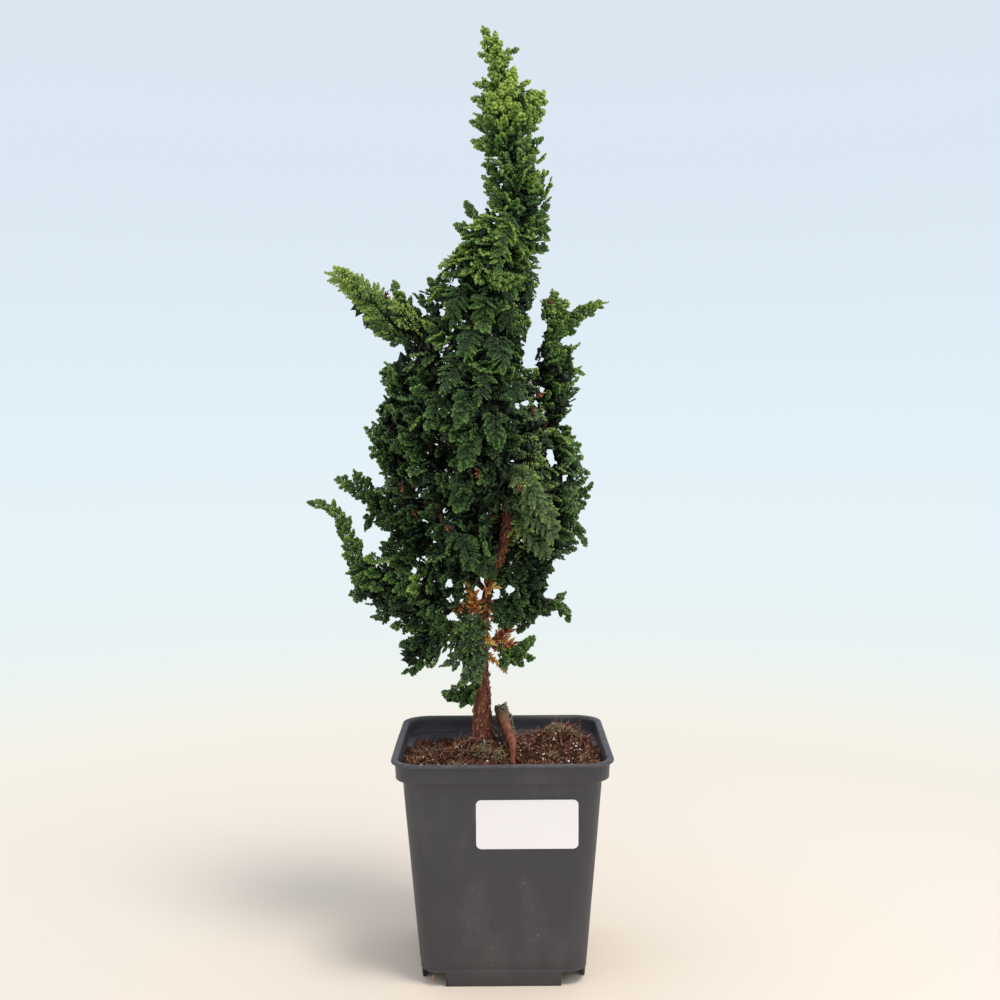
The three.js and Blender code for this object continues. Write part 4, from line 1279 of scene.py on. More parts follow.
# Shoots that stand clear of the masses: the mass each belongs to, its stem from foot to tip (x, y and z in mm
# from the pot's middle), the reach of its side fronds at foot and tip, the space between them, their kind and
# their tone at foot and tip. True follows where they lie flat on both sides of the stem and not all round it.
SHOOTS = (
    ("left_low_tip", ((-53, -5, 188), (-64, -5, 198.5), (-71.5, -4, 205.5), (-75.5, -3, 212),
     (-78.3, -3, 219), (-79.6, -2, 226), (-82, -2, 231), (-87.5, -1, 235), (-95, 0, 239)), 8.8, 4.8, 2.9,
     "round", 0.36, 0.54),
    ("left_low_tip", ((-60, 2, 190), (-66, 3, 196), (-73, 3, 201), (-77, 2, 206)), 6.5, 5.0, 4.0, "round",
     0.3, 0.4),
    ("wing_left", ((-50, -4, 327), (-61, -3, 338), (-70.5, -2, 347.5), (-78, -1, 353), (-83, 0, 355.5)),
     12.0, 7.0, 2.0, "slim", 0.70, 1.0, True),
    ("wing_left", ((-50, 3, 328), (-60, 3, 338), (-70, 3, 348), (-79, 3, 355)), 11.5, 6.5, 2.6, "slim",
     0.60, 0.9, True),
    ("wing_left", ((-66, -4, 343), (-72, -4, 350), (-76, -3, 354), (-80, -3, 357)), 5.5, 5.0, 3.0, "tuft",
     0.5, 0.9),
    ("wing_left", ((-50, -6, 322), (-57, -6, 326), (-63, -5, 330)), 5.5, 4.5, 3.4, "round", 0.24, 0.34,
     True),
    ("wing_small", ((-42, 7, 326), (-47, 7, 336), (-51, 8, 343), (-53, 8, 348)), 7.0, 5.0, 3.2, "round",
     0.4, 0.66),
    ("wing_small", ((-40, 6, 330), (-45, 6, 338), (-48.5, 6, 344)), 6.5, 4.8, 3.2, "round", 0.4, 0.62),
    ("left_second", ((-50, 7, 232), (-60, 7, 237), (-66, 7, 241), (-71, 7, 245.5), (-75, 7, 248),
     (-78, 7, 249.5)), 10.0, 8.5, 2.8, "round", 0.3, 0.42),
    ("left_second", ((-57, 8, 237), (-63, 9, 235), (-68, 9, 232), (-70, 9, 229)), 6.5, 5.0, 3.2, "round",
     0.26, 0.34),
    ("left_second", ((-44, 3, 215), (-50, 2, 215), (-55, 2, 216), (-58.5, 2, 217)), 6.0, 4.4, 3.0, "round",
     0.28, 0.36),
    ("left_second", ((-46, 6, 226), (-52, 7, 225.5), (-58, 8, 226), (-62, 8, 227)), 6.0, 4.6, 2.8, "round",
     0.28, 0.36),
    ("left_second", ((-46, 4, 208), (-53, 3, 210), (-59, 3, 213)), 6.5, 5.0, 2.8, "round", 0.26, 0.34),
    ("left_second", ((-36, 2, 203), (-43, 2, 204.5), (-49, 2, 206)), 6.5, 5.0, 2.8, "round", 0.24, 0.32),
    ("left_second", ((-28, 4, 224), (-34, 4, 229), (-38, 4, 236)), 7.5, 6.5, 2.4, "round", 0.20, 0.28),
    ("shoulder_left", ((-26, 2, 333), (-33, 1, 338), (-40, 1, 343.5)), 7.0, 5.0, 2.8, "round", 0.3, 0.4),
    ("shoulder_left", ((-22, 0, 342), (-28, 0, 347), (-33, 0, 351)), 6.0, 4.8, 2.8, "round", 0.3, 0.42),
    ("shoulder_left", ((-28, -1, 327), (-36, -2, 330), (-43, -2, 332.5)), 7.5, 5.5, 2.8, "round", 0.3, 0.4),
    ("centre_front", ((3, -6, 331), (8, -7, 328), (11.5, -7, 324)), 6.0, 4.6, 2.8, "broad", 0.34, 0.44),
    ("centre_front", ((3, -6, 323), (8, -7, 319), (12, -7, 314)), 6.0, 4.6, 2.8, "broad", 0.34, 0.44),
    ("left_bottom", ((-36, -4, 182), (-43, -5, 178), (-49, -4, 175.5), (-52, -4, 175)), 7.0, 5.5, 3.0,
     "round", 0.32, 0.42),
    ("left_bottom", ((-21, -7, 170.5), (-28, -8, 175), (-34, -8, 179), (-39, -8, 182)), 5.5, 5.0, 2.8,
     "round", 0.26, 0.34),
    ("right_tip", ((28, 2, 318), (32, 1, 328), (40, 0, 334.5), (46, 0, 338), (52, 0, 340.5)), 9.0, 3.6, 2.4,
     "round", 0.42, 0.66),
    ("right_column", ((30, 2, 318), (30.5, 1, 327), (31, 1, 334), (31, 1, 339)), 7.0, 5.5, 2.4, "tuft",
     0.40, 0.66),
    ("right_column", ((30, 0, 325), (28, -1, 330), (26.5, -1, 333.5), (26.2, -1, 336.5)), 5.5, 5.0, 2.4,
     "tuft", 0.36, 0.62),
    ("right_column", ((31, 0, 329), (32.5, 0, 334), (34, 0, 338)), 5.5, 4.6, 2.4, "tuft", 0.44, 0.72),
    ("right_column", ((27, 1, 306), (31, 0, 310), (34.5, 0, 315)), 6.0, 5.0, 2.6, "round", 0.34, 0.46),
    ("right_column", ((28, 1, 303), (34, 0, 306), (39.5, 0, 306)), 6.0, 4.4, 2.6, "round", 0.36, 0.5),
    ("right_low", ((15, -6, 188), (9, -8, 185), (3, -8, 183.5), (-2, -8, 184)), 7.5, 6.0, 2.6, "round", 0.2,
     0.28),
    ("right_low", ((13, -7, 185), (7, -8, 180.5), (1, -8, 179)), 7.0, 6.0, 2.6, "round", 0.18, 0.26),
    ("right_low", ((14, -5, 186), (13, -7, 180), (11.5, -7, 176.5)), 6.5, 5.5, 2.6, "round", 0.2, 0.28),
    ("right_low_tip", ((15, -2, 185), (22, -2, 186), (28, -2, 185.5), (33.5, -2, 180.5)), 6.0, 4.2, 2.6,
     "round", 0.36, 0.42),
    ("right_low_tip", ((22, 0, 184), (27, 0, 187), (30.5, 0, 189.5)), 4.5, 3.5, 3.4, "round", 0.38, 0.42),
    ("right_mid", ((31, -4, 236), (37, -4, 229), (42, -4, 221)), 5.5, 4.2, 3.0, "round", 0.34, 0.4),
    ("right_mid", ((14, 0, 212), (19, 0, 209), (23, 0, 206)), 6.5, 5.5, 2.6, "round", 0.26, 0.34),
    ("right_mid", ((36, 0, 236), (41, 0, 240), (45.5, 0, 245.5)), 5.5, 4.0, 3.2, "round", 0.34, 0.4),
    ("left_bottom", ((-28, -3, 170), (-36, -3, 162), (-42, -2, 156), (-47, -2, 152.5)), 6.5, 5.0, 3.2,
     "round", 0.3, 0.38),
    ("left_bottom", ((-34, -4, 178), (-40, -4, 171), (-45, -4, 167), (-48, -3, 165.5)), 7.0, 5.5, 3.2,
     "round", 0.32, 0.4),
    ("low_sprig", ((-13, 2, 138), (-18, 0, 139.5), (-24.5, -1, 140)), 8.0, 6.5, 2.3, "round", 0.32, 0.44),
    ("low_sprig", ((-15, 0, 138), (-20, -2, 136.5), (-25, -2, 137)), 6.0, 5.0, 2.8, "round", 0.28, 0.36),
    ("trunk_side", ((-10, -8, 181), (-10.5, -9, 172), (-11, -9, 163), (-12.5, -9, 155), (-13, -8, 151)),
     6.0, 6.0, 2.2, "round", 0.28, 0.42),
    ("trunk_side", ((-13, -6, 175), (-18, -6, 172), (-23, -5, 169), (-26.5, -5, 166)), 6.5, 5.0, 3.0,
     "round", 0.24, 0.32),
    ("trunk_side", ((-13, -7, 168), (-18, -8, 163), (-23, -7, 158.5), (-27, -6, 156)), 6.5, 5.5, 3.0,
     "round", 0.3, 0.4),
    ("trunk_side", ((-13, -6, 156), (-17, -8, 151), (-20, -8, 147)), 6.5, 5.0, 3.0, "round", 0.32, 0.42),
    ("right_sprig", ((-2, -5, 160), (4, -6, 161), (9, -6, 162.5), (12, -6, 164.5)), 7.0, 6.0, 2.6, "round",
     0.34, 0.46),
    ("right_sprig", ((0, -6, 158), (6, -7, 158.5), (11.5, -7, 158.5)), 6.5, 5.5, 2.6, "round", 0.32, 0.42),
    ("apex", ((3.5, 0, 446), (2, 0, 455), (-1, 0, 464), (-3.6, 0, 471), (-5.8, 0, 476.5)), 8.5, 4.6, 2.1,
     "tuft", 0.58, 0.76),
    ("apex", ((2, -2, 450), (1.5, -2, 458), (0.5, -2, 466), (-0.8, -2, 474)), 7.5, 4.4, 2.4, "tuft", 0.58,
     0.74),
    ("apex", ((2.5, -1, 447), (-3, -2, 450.5), (-7.5, -2, 451.5)), 5.5, 4.6, 2.4, "tuft", 0.54, 0.66),
    ("apex", ((1, 0, 460), (-3, -1, 463.5), (-6, -1, 465.5)), 4.4, 4.2, 2.6, "tuft", 0.56, 0.68),
    ("apex", ((1, -2, 460), (4, -2, 465), (7, -2, 467.5)), 4.4, 3.8, 2.6, "tuft", 0.58, 0.72),
    ("apex", ((2.5, -3, 440), (-3, -4, 442.5), (-8, -4, 443.5)), 6.5, 5.0, 2.4, "tuft", 0.5, 0.62),
    ("apex", ((4, -5, 436), (6, -7, 443), (7, -7, 450), (7.5, -6, 455)), 6.0, 5.0, 1.9, "tuft", 0.80, 1.0),
    ("apex", ((4, -6, 436), (3, -8, 443), (3.5, -8, 448)), 5.0, 4.6, 2.4, "tuft", 0.72, 0.9),
    ("apex", ((6, 0, 440), (13, -1, 443.5), (17, -1, 446)), 6.0, 4.8, 2.6, "tuft", 0.56, 0.74),
    ("spire", ((3, -2, 430), (-3, -4, 433), (-7.5, -4, 435)), 6.0, 4.6, 2.6, "round", 0.46, 0.56),
    ("spire", ((3, -2, 416), (-4, -4, 419), (-8.5, -4, 421)), 6.0, 4.8, 2.6, "round", 0.42, 0.54),
    ("spire", ((12, -3, 384), (18, -3, 380), (22.5, -3, 376.5)), 6.0, 5.0, 2.8, "broad", 0.42, 0.54),
    ("spire", ((3, -2, 424), (-4, -4, 428), (-9.5, -4, 431)), 6.0, 4.8, 3.2, "round", 0.42, 0.52),
    ("spire", ((10, -1, 414), (15, -1, 419), (19, -1, 422)), 6.0, 5.0, 3.2, "round", 0.40, 0.52),
    ("spire", ((13, 0, 381), (18, 0, 385), (22, 0, 388)), 6.0, 5.0, 3.4, "round", 0.38, 0.50),
    ("spire", ((10, -2, 376), (15, -1, 374), (20.5, 0, 371)), 6.5, 5.0, 3.4, "round", 0.36, 0.46),
    ("apex", ((6, 0, 446), (10, -1, 450), (13, -1, 452)), 4.4, 4.0, 2.6, "tuft", 0.6, 0.74),
    ("spire", ((8, 0, 430), (15, 0, 437), (19, 0, 440.5), (21, 0, 443.5)), 6.5, 5.4, 2.6, "tuft", 0.58,
     0.78),
    ("spire", ((8, 0, 428), (15, 0, 432), (20, 0, 435.5)), 6.5, 5.0, 2.8, "tuft", 0.56, 0.7),
    ("spire", ((-2, -4, 372), (-8, -5, 380), (-12.5, -5, 386), (-14, -5, 388)), 6.5, 4.5, 2.8, "round",
     0.36, 0.44),
    ("spire", ((-4, -3, 368), (-11, -4, 374), (-17, -4, 378)), 6.5, 5.0, 2.8, "round", 0.34, 0.42),
)

# Where the crown stands out from its CAD masses or falls back from them, seen from the front: x and z in mm
# from the pot's middle, the radius of the place, and how far the tips are let out.
OUTLINE = (
    (-10, 424, 15, 1.5), (17, 422, 9, 3.0), (23, 388, 11, 3.0), (23, 374, 10, 5.0), (21, 347, 9, 4.0),
    (-27, 361, 13, -5.5), (-34, 350, 8, -2.5), (-66, 305, 24, -3.0), (-68, 262, 24, -4.0),
    (38, 307, 16, -3.0), (46, 270, 17, -6.0), (45, 243, 17, -6.5), (42, 223, 14, -6.5), (29, 190, 14, -6.5),
    (-62, 196, 14, -1.5), (47, 274, 11, -3.0), (-66, 252, 17, -4.5), (43, 236, 12, -6.0),
    (-54, 313, 9, 5.0), (-66, 290, 12, -3.0), (-64, 247, 10, -2.5), (-68, 277, 8, 2.5),
    (-60, 179, 11, -4.5), (36, 315, 9, -3.0),
)
# Masses of sprays between the CAD ones: x, y and z of the middle, and the radius.
FILLINGS = (
    (-27, -8, 331, 13), (-16, 8, 236, 14), (-33, 2, 327, 13), (-45, 1, 319, 12), (6, -4, 325, 13),
    (9, -2, 314, 12), (-1, -13, 248, 10), (3, -15, 264, 11), (-14, -10, 212, 10), (-45, 2, 213, 9),
    (-46, 3, 238, 12), (-22, -8, 326, 12), (-12, -12, 329, 11), (3, -9, 329, 11), (-33, -3, 177, 8.5),
    (-28, -6, 243, 9), (-29, 12, 262, 12), (-27, 12, 243, 11), (22, 6, 300, 12), (-42, -6, 320, 9),
    (17, 0, 302, 9), (-41, 0, 203, 8.5), (15, -2, 293, 8), (2, -6, 183, 7.5), (10, 0, 213, 9.5),
    (-34, 0, 231, 10), (-30, -2, 236, 9),
)
# Gaps that show the sky through the crown, seen from the front: x and z, then half their width and height.
GAPS = (
    (25, 353.5, 4.5, 5.0), (22.8, 346.5, 3.8, 3.6), (19.3, 338, 2.5, 6.0), (20.7, 328.5, 4.0, 4.2),
    (18.0, 324.5, 4.2, 5.0), (16.0, 318, 2.9, 5.5), (15.0, 312, 3.0, 4.5), (40, 315, 3.2, 2.4),
    (43.8, 231.5, 3.2, 3.6), (-21.9, 351.6, 2.0, 1.8), (-32.2, 343.1, 1.5, 1.2), (-29.3, 337.5, 1.3, 3.0),
    (13.1, 290, 2.0, 1.5), (9, 288.6, 1.2, 2.3), (25.8, 263.5, 1.9, 3.8), (27.4, 259.5, 1.9, 3.2),
    (47.0, 259.0, 5.5, 3.8), (33.2, 251, 1.5, 2.0), (-27, 196.5, 1.9, 2.7), (-26.5, 188.4, 2.2, 1.7),
    (-25.7, 179.3, 2.7, 1.9), (-63.5, 250.5, 3.2, 3.4), (5.0, 193.2, 2.6, 2.2), (-2.8, 191, 1.6, 2.0),
    (30.5, 197, 6.5, 5.5), (25.3, 190.5, 3.4, 3.2), (18.6, 290, 1.2, 3.0), (21.5, 296.5, 1.0, 2.2),
    (-45, 203.5, 1.2, 2.0), (-17.5, 196, 1.6, 2.2), (34.5, 321.5, 3.2, 2.6),
)
# Sprays that hang over the front of the crown: their mass, then x and z of foot and tip as seen from the
# front, and then as for the shoots. They all lie flat. The first is the leader's own side shoot.
DRAPED = (
    ("upper_front", (7, 384), (-1, 356), 6.5, 5.5, 3.4, "slim", 0.54, 0.56),
    ("upper_front", (-19, 346), (-23, 331), 8.0, 6.0, 2.6, "slim", 0.44, 0.58),
    ("upper_front", (-7, 341), (-8, 327), 8.5, 6.5, 2.8, "broad", 0.40, 0.55),
    ("upper_front", (3, 338), (7, 324), 8.0, 6.0, 2.6, "slim", 0.36, 0.48),
    ("centre_front", (-26, 333), (-32, 320), 8.0, 6.0, 2.6, "slim", 0.33, 0.49),
    ("centre_front", (-14, 328), (-16, 314), 8.0, 6.0, 2.6, "slim", 0.31, 0.45),
    ("centre_front", (-1, 322), (1, 309), 8.0, 6.5, 2.8, "broad", 0.27, 0.39),
    ("centre_front", (8, 318), (13, 306), 7.0, 5.0, 2.6, "slim", 0.27, 0.37),
    ("centre_front", (-20, 312), (-26, 300), 7.5, 6.0, 2.6, "slim", 0.29, 0.47),
    ("centre_front", (-7, 305), (-9, 293), 7.0, 5.5, 2.6, "slim", 0.27, 0.39),
    ("centre_front", (6, 300), (9, 289), 7.0, 5.5, 2.8, "broad", 0.25, 0.35),
    ("centre_front", (-15, 294), (-19, 283), 7.0, 5.5, 2.8, "round", 0.25, 0.39),
    ("left_inner", (-27, 292), (-33, 282), 7.0, 5.5, 2.8, "round", 0.23, 0.33),
    ("centre_front", (-3, 284), (-2, 273), 7.0, 5.5, 2.8, "round", 0.25, 0.39),
    ("centre_front", (-13, 274), (-17, 263), 7.0, 5.5, 2.8, "round", 0.23, 0.37),
    ("right_front", (9, 256), (18, 242), 8.5, 6.0, 2.4, "slim", 0.52, 0.56),
    ("right_front", (13, 247), (25, 233), 8.5, 6.0, 2.4, "slim", 0.55, 0.60),
    ("right_front", (14, 237), (27, 224), 8.0, 6.0, 2.4, "slim", 0.55, 0.60),
    ("right_front", (13, 227), (23, 214), 7.5, 5.5, 2.4, "slim", 0.54, 0.60),
    ("front_low", (-18, 252), (-21, 240), 7.0, 5.5, 2.8, "round", 0.25, 0.37),
    ("front_low", (-20, 226), (-15, 213), 8.0, 6.0, 2.6, "slim", 0.31, 0.45),
    ("front_low", (-13, 214), (-2, 203), 6.5, 4.6, 2.6, "slim", 0.25, 0.35),
    ("front_low", (-9, 211), (-1, 199), 6.5, 4.8, 2.6, "round", 0.22, 0.30),
)
# Each layer's gaps as a share of the masses' own, the depth of its tips below the skin in mm, and its shade:
# how much darker its fronds are painted, a painted shade.
OUTER_LAYER = 1.0, 0.3, 0.0
INNER_LAYER = 1.47, 8.0, -0.28
# How many dark leaves are tried inside the crown. From THIN_Z up they come to lie deeper, over so many mm,
# and above LEAFLESS_Z there are none.
INNER_LEAVES = 8200
THIN_Z, THIN_OVER, LEAFLESS_Z = 350, 20, 450
CLOSING = 2.0
SKIN_VOXEL = 1.7
CLUMP = 17.0
LONGEST_TWIG = 26


def crown_skin():
    """The even outer skin of all the CAD masses taken together: its places and normals, in mm."""
    shell = bmesh.new()
    for name in SPRAYS:
        shell.from_mesh(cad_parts[name].data)
    bmesh.ops.remove_doubles(shell, verts=shell.verts, dist=0.01 * MM)
    for x, y, z, radius in FILLINGS:
        middle = Matrix.Translation((POT_X + x * MM, POT_Y + y * MM, z * MM))
        bmesh.ops.create_icosphere(shell, subdivisions=3, radius=radius * MM, matrix=middle)
    shell.normal_update()
    for vertex in shell.verts:
        vertex.co += vertex.normal * CLOSING * MM
    mesh = bpy.data.meshes.new("crown_skin")
    shell.to_mesh(mesh)
    shell.free()
    skin = new_object("crown_skin", mesh)
    remesh = skin.modifiers.new("skin", "REMESH")
    remesh.mode = "VOXEL"
    remesh.voxel_size = SKIN_VOXEL * MM
    plain_result(skin)
    places, normals = mesh_arrays(skin.data)
    bpy.data.objects.remove(skin)
    return places / MM, unit(normals)


def growth_axis(name):
    """The way a mass grows: its long axis, pointing away from the foot of the trunk."""
    places, _ = mesh_arrays(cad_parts[name].data)
    middle = places.mean(axis=0)
    axis = np.linalg.eigh(np.cov((places - middle).T))[1][:, -1]
    reach = (places - middle) @ axis / MM
    outward = middle - np.array([POT_X, POT_Y, 0.18])
    if axis @ outward < 0:
        axis, reach = -axis, -reach
    return axis, middle / MM, np.ptp(reach)


def thinned(rng, places, gaps):
    """Picks places in random order, so that none lies nearer than its gap to one picked before it."""
    keys = np.floor(places / gaps.max()).astype(int)
    picked, taken = [], {}
    around = [(a, b, c) for a in (-1, 0, 1) for b in (-1, 0, 1) for c in (-1, 0, 1)]
    for index in rng.permutation(len(places)):
        place, gap = places[index], gaps[index]
        key = tuple(keys[index])
        near = [other for a, b, c in around for other in taken.get((key[0] + a, key[1] + b, key[2] + c), ())]
        if near and np.min(np.sum((places[near] - place) ** 2, axis=1)) < gap ** 2:
            continue
        picked.append(index)
        taken.setdefault(key, []).append(index)
    return np.array(picked)


def drift_at(places, size):
    """Smooth random directions, with lumps of some mm."""
    return np.array([noise.noise_vector(Vector(place / size))[:] for place in places])


def clumps_at(places, size):
    """How far inside its clump each place is, from 0 in a crevice to 1, the way there from the clump's
    middle, and two random numbers of the clump's own, from about -1 to 1."""
    inside, ways, own = [], [], []
    for place in places:
        at = Vector(place / size)
        apart, middles = noise.voronoi(at)
        inside.append(min(1.0, (apart[1] - apart[0]) / 0.4))
        ways.append((at - middles[0])[:])
        own.append((noise.noise(middles[0] * 5.3) * 1.6, noise.noise(middles[0] * 3.7) * 1.6))
    return np.array(inside), np.array(ways), np.array(own)


def seen_from_front(places):
    """Where places in mm appear on the upright plane through the pot's middle, as x and z in mm."""
    shrink = CAMERA_BACK / (CAMERA_BACK + (places[:, 1] - HEART[1]) * MM)
    level = CAMERA_HEIGHT / MM
    return np.stack([(places[:, 0] - HEART[0]) * shrink, level + (places[:, 2] - level) * shrink], axis=1)


def outline_push(tips, out):
    """How far the tips are let out beyond the masses, where the skin faces sideways."""
    push = np.zeros(len(tips))
    seen = seen_from_front(tips)
    for x, z, radius, amount in OUTLINE:
        apart = (seen[:, 0] - x) ** 2 + (seen[:, 1] - z) ** 2
        push += amount * np.exp(-2 * apart / radius ** 2)
    return push * (1 - out[:, 1] ** 2)


def frond_frames(rng, ahead, out, roll):
    """The sideways and upward directions of fronds that point ahead, with their upper face outwards."""
    aside = unit(np.cross(ahead, out) + rng.normal(0, 0.12, ahead.shape))
    aside = unit(aside - ahead * np.sum(aside * ahead, axis=1)[:, None])
    up = np.cross(ahead, aside)
    up *= np.sign(np.sum(up * out, axis=1))[:, None]
    cos, sin = np.cos(roll)[:, None], np.sin(roll)[:, None]
    return aside * cos + up * sin, up * cos - aside * sin


def trunk_line():
    """The trunk's middle at each height, from its CAD body: heights, x and y in mm."""
    places = mesh_arrays(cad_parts["trunk"].data)[0] / MM
    heights = np.arange(110, 460, 10)
    near = [places[np.abs(places[:, 2] - height) < 9] for height in heights]
    middles = [np.array([band[:, part].mean() for band in near]) for part in (0, 1)]
    return heights, *middles


KINDS = ("slim", "broad", "round", "tuft")


def crown_fronds(rng, skin, gap_scale, depth, shade):
    """The fronds of one layer of the crown. depth is how far below the skin their tips lie, in mm."""
    places, normals, owner_of = skin
    styles = [{**COMMON, **GROWTH.get(name, {})} for name in SPRAYS]
    axes = [growth_axis(name) for name in SPRAYS]
    picked = thinned(rng, places, np.array([styles[i]["gap"] for i in owner_of]) * gap_scale)
    tips, out, owner = places[picked], normals[picked], owner_of[picked]
    inside, ways, own = clumps_at(tips, CLUMP)
    from_x = np.array([styles[i]["from_x"] for i in owner])
    to_z = np.array([styles[i]["to_z"] for i in owner])
    if depth > 5:
        inside = 0.6 + 0.4 * inside
    kept = (inside > 0.1) & (tips[:, 0] - HEART[0] > from_x) & (tips[:, 2] < to_z)
    tips, out, owner, inside, ways, own = (part[kept] for part in (tips, out, owner, inside, ways, own))
    count = len(tips)
    style = {key: np.array([styles[i][key] for i in owner]) for key in COMMON}
    axis, middle = (np.array([axes[i][part] for i in owner]) for part in (0, 1))
    span = np.array([axes[i][2] for i in owner])
    share = np.clip(np.sum((tips - middle) * axis, axis=1) / span + 0.5, 0, 1)
    heights, trunk_x, trunk_y = trunk_line()
    splay = np.zeros((count, 3))
    splay[:, 0] = np.clip((tips[:, 0] - np.interp(tips[:, 2], heights, trunk_x)) / 12, -1, 1)
    splay[:, 1] = np.clip((tips[:, 1] - np.interp(tips[:, 2], heights, trunk_y)) / 12, -1, 1)
    ahead = unit(
        style["out"][:, None] * out + style["along"][:, None] * axis + style["splay"][:, None] * splay
        - style["sag"][:, None] * np.array([0, 0, 1.0]) + 0.35 * drift_at(tips, CLUMP) + 0.8 * ways
        + rng.normal(0, 0.10, (count, 3)))
    ahead = unit(ahead + out * np.maximum(0, 0.3 - np.sum(ahead * out, axis=1))[:, None])
    roll = np.where(rng.random(count) < 0.8, rng.normal(0, 0.35, count), rng.uniform(-1.5, 1.5, count))
    aside, up = frond_frames(rng, ahead, out, roll)
    reach = style["reach"] * rng.uniform(0.8, 1.2, count)
    rise = 1.9 - 6.5 * (1 - inside) ** 1.5 + 1.5 * own[:, 0] - depth - CLOSING + rng.normal(0, 0.7, count)
    rise += outline_push(tips, out)
    base = tips + out * rise[:, None] - ahead * (reach * 0.97)[:, None]
    tone = style["tone"] + style["tip_tone"] * share ** 2
    # Painted shade in the clumps' crevices, and painted light on skin that faces up.
    tone = tone + 0.22 * (inside - 0.7) + 0.07 * own[:, 0] + 0.17 * out[:, 2]
    draw = rng.random(count) * sum(style[kind] for kind in KINDS)
    kind = sum((draw > part).astype(int) for part in np.cumsum([style[kind] for kind in KINDS], axis=0)[:-1])
    return {
        "base": base, "ahead": ahead, "aside": aside, "up": up, "owner": owner, "reach": reach,
        "bend": -rng.uniform(0.004, 0.02, count), "cup": -rng.uniform(0.005, 0.03, count),
        # The inner layer's shade paints its fronds darker, a painted shade.
        "tone": tone + rng.normal(0, 0.05, count) + shade * style["deep"],
        "bloom": np.clip(style["bloom"] + 0.2 * own[:, 1] + rng.normal(0, 0.08, count), 0, 1),
        "rust": np.zeros(count), "kind": kind,
    }


def smooth_stem(points, steps):
    """Places along a smooth curve near some points, and its direction at each."""
    points = np.array(points, float)
    lengths = np.concatenate([[0], np.cumsum(np.linalg.norm(np.diff(points, axis=0), axis=1))])
    degree = min(4, len(points) - 1)
    curve = [np.polyfit(lengths, points[:, part], degree) for part in range(3)]
    along = np.linspace(0, lengths[-1], steps)
    places = np.stack([np.polyval(part, along) for part in curve], axis=1)
    heading = unit(np.stack([np.polyval(np.polyder(part), along) for part in curve], axis=1))
    return places, heading, lengths[-1]


def loose_lobes(place, **given):
    """Arrays of lobes, with no bloom or rust and not blunt where nothing else is given."""
    nothing = np.zeros(len(place))
    return {"place": place, "bloom": nothing, "rust": nothing, "blunt": nothing, **given}


def shoot_fronds(rng, number, stem, foot_reach, tip_reach, space, kind, foot_tone, tip_tone, flat=False):
    """The fronds along one shoot, and the lobes of its stem. number is the mass that they belong to."""
    _, _, length = smooth_stem(stem, 2)
    count = max(3, 2 * round(length / space) + 1)
    places, heading, _ = smooth_stem(stem, count)
    places = places + HEART
    share = np.linspace(0, 1, count)
    toward = unit(np.array([0.15, -1.0, 0.25]))
    turn = np.arange(count) * (math.pi if flat else 2.4) + rng.normal(0, 0.2 if flat else 0.35, count)
    across = unit(np.cross(heading, toward))
    lifted = np.cross(across, heading)
    side = across * np.cos(turn)[:, None] + lifted * np.sin(turn)[:, None]
    spread = np.radians(np.interp(share, (0, 1), (62, 40)) + rng.normal(0, 5, count))
    spread[-1] = 0
    ahead = heading * np.cos(spread)[:, None] + side * np.sin(spread)[:, None]
    ahead = unit(ahead + rng.normal(0, 0.05, (count, 3)))
    reach = np.interp(share, (0, 1), (foot_reach, tip_reach)) * rng.uniform(0.88, 1.12, count)
    reach[-1] *= 1.15
    facing = toward if flat else unit(toward + 0.8 * side)
    roll = rng.normal(0, 0.5 if flat else 0.3, count)
    aside, up = frond_frames(rng, ahead, np.broadcast_to(facing, ahead.shape), roll)
    tone = foot_tone + (tip_tone - foot_tone) * share ** 2.2
    fronds = {
        "base": places, "ahead": ahead, "aside": aside, "up": up, "owner": np.full(count, number),
        "reach": reach, "bend": -rng.uniform(0.004, 0.02, count),
        "cup": -rng.uniform(0.005, 0.03, count), "tone": tone + rng.normal(0, 0.07, count),
        "rust": np.zeros(count),
        "bloom": np.full(count, {**COMMON, **GROWTH.get(SPRAYS[number], {})}["bloom"]),
        "kind": np.full(count, KINDS.index(kind)),
    }
    thick = np.interp(share, (0, 1), (1.2, 0.6))
    behind = toward * (1.0 if flat else 0.0)
    lobes = loose_lobes(
        places - behind - heading * length / count * 0.5, heading=heading, facing=unit(up + 0.01),
        size=np.stack([thick, thick, np.full(count, length / count * 2.2)], axis=1),
        tone=0.2 + 0.2 * share, rust=np.full(count, 0.22 if flat else 0.45), owner=np.full(count, number))
    return fronds, lobes


def clear_of_gaps(lobes):
    """Leaves out the lobes that would close the gaps in the crown."""
    kept = np.ones(len(lobes["place"]), bool)
    for share in np.linspace(0.05, 0.95, 6):
        seen = seen_from_front(lobes["place"] + lobes["heading"] * lobes["size"][:, 2:] * share)
        for x, z, half_width, half_height in GAPS:
            kept &= ((seen[:, 0] - x) / half_width) ** 2 + ((seen[:, 1] - z) / half_height) ** 2 > 1
    return {key: values[kept] for key, values in lobes.items()}


def finder_of(places):
    """A search tree for the nearest of some places."""
    finder = KDTree(len(places))
    for index, place in enumerate(places):
        finder.insert(place, index)
    finder.balance()
    return finder


def twigs_to(fronds, wood):
    """A thin twig from the nearest wood to the foot of each frond."""
    finder = finder_of(wood)
    feet = np.array([finder.find(place)[0][:] for place in fronds["base"]])
    run = fronds["base"] - feet
    length = np.linalg.norm(run, axis=1)
    near = length < LONGEST_TWIG
    feet, run, length = feet[near], run[near], length[near]
    count = len(feet)
    heading = unit(run)
    thick = np.full(count, 0.6)
    return loose_lobes(
        feet, heading=heading, facing=unit(np.cross(heading, (0.3, 0.5, 0.8))),
        size=np.stack([thick, thick, length * 1.1], axis=1), tone=np.full(count, -0.3),
        rust=np.full(count, 0.8), owner=fronds["owner"][near])


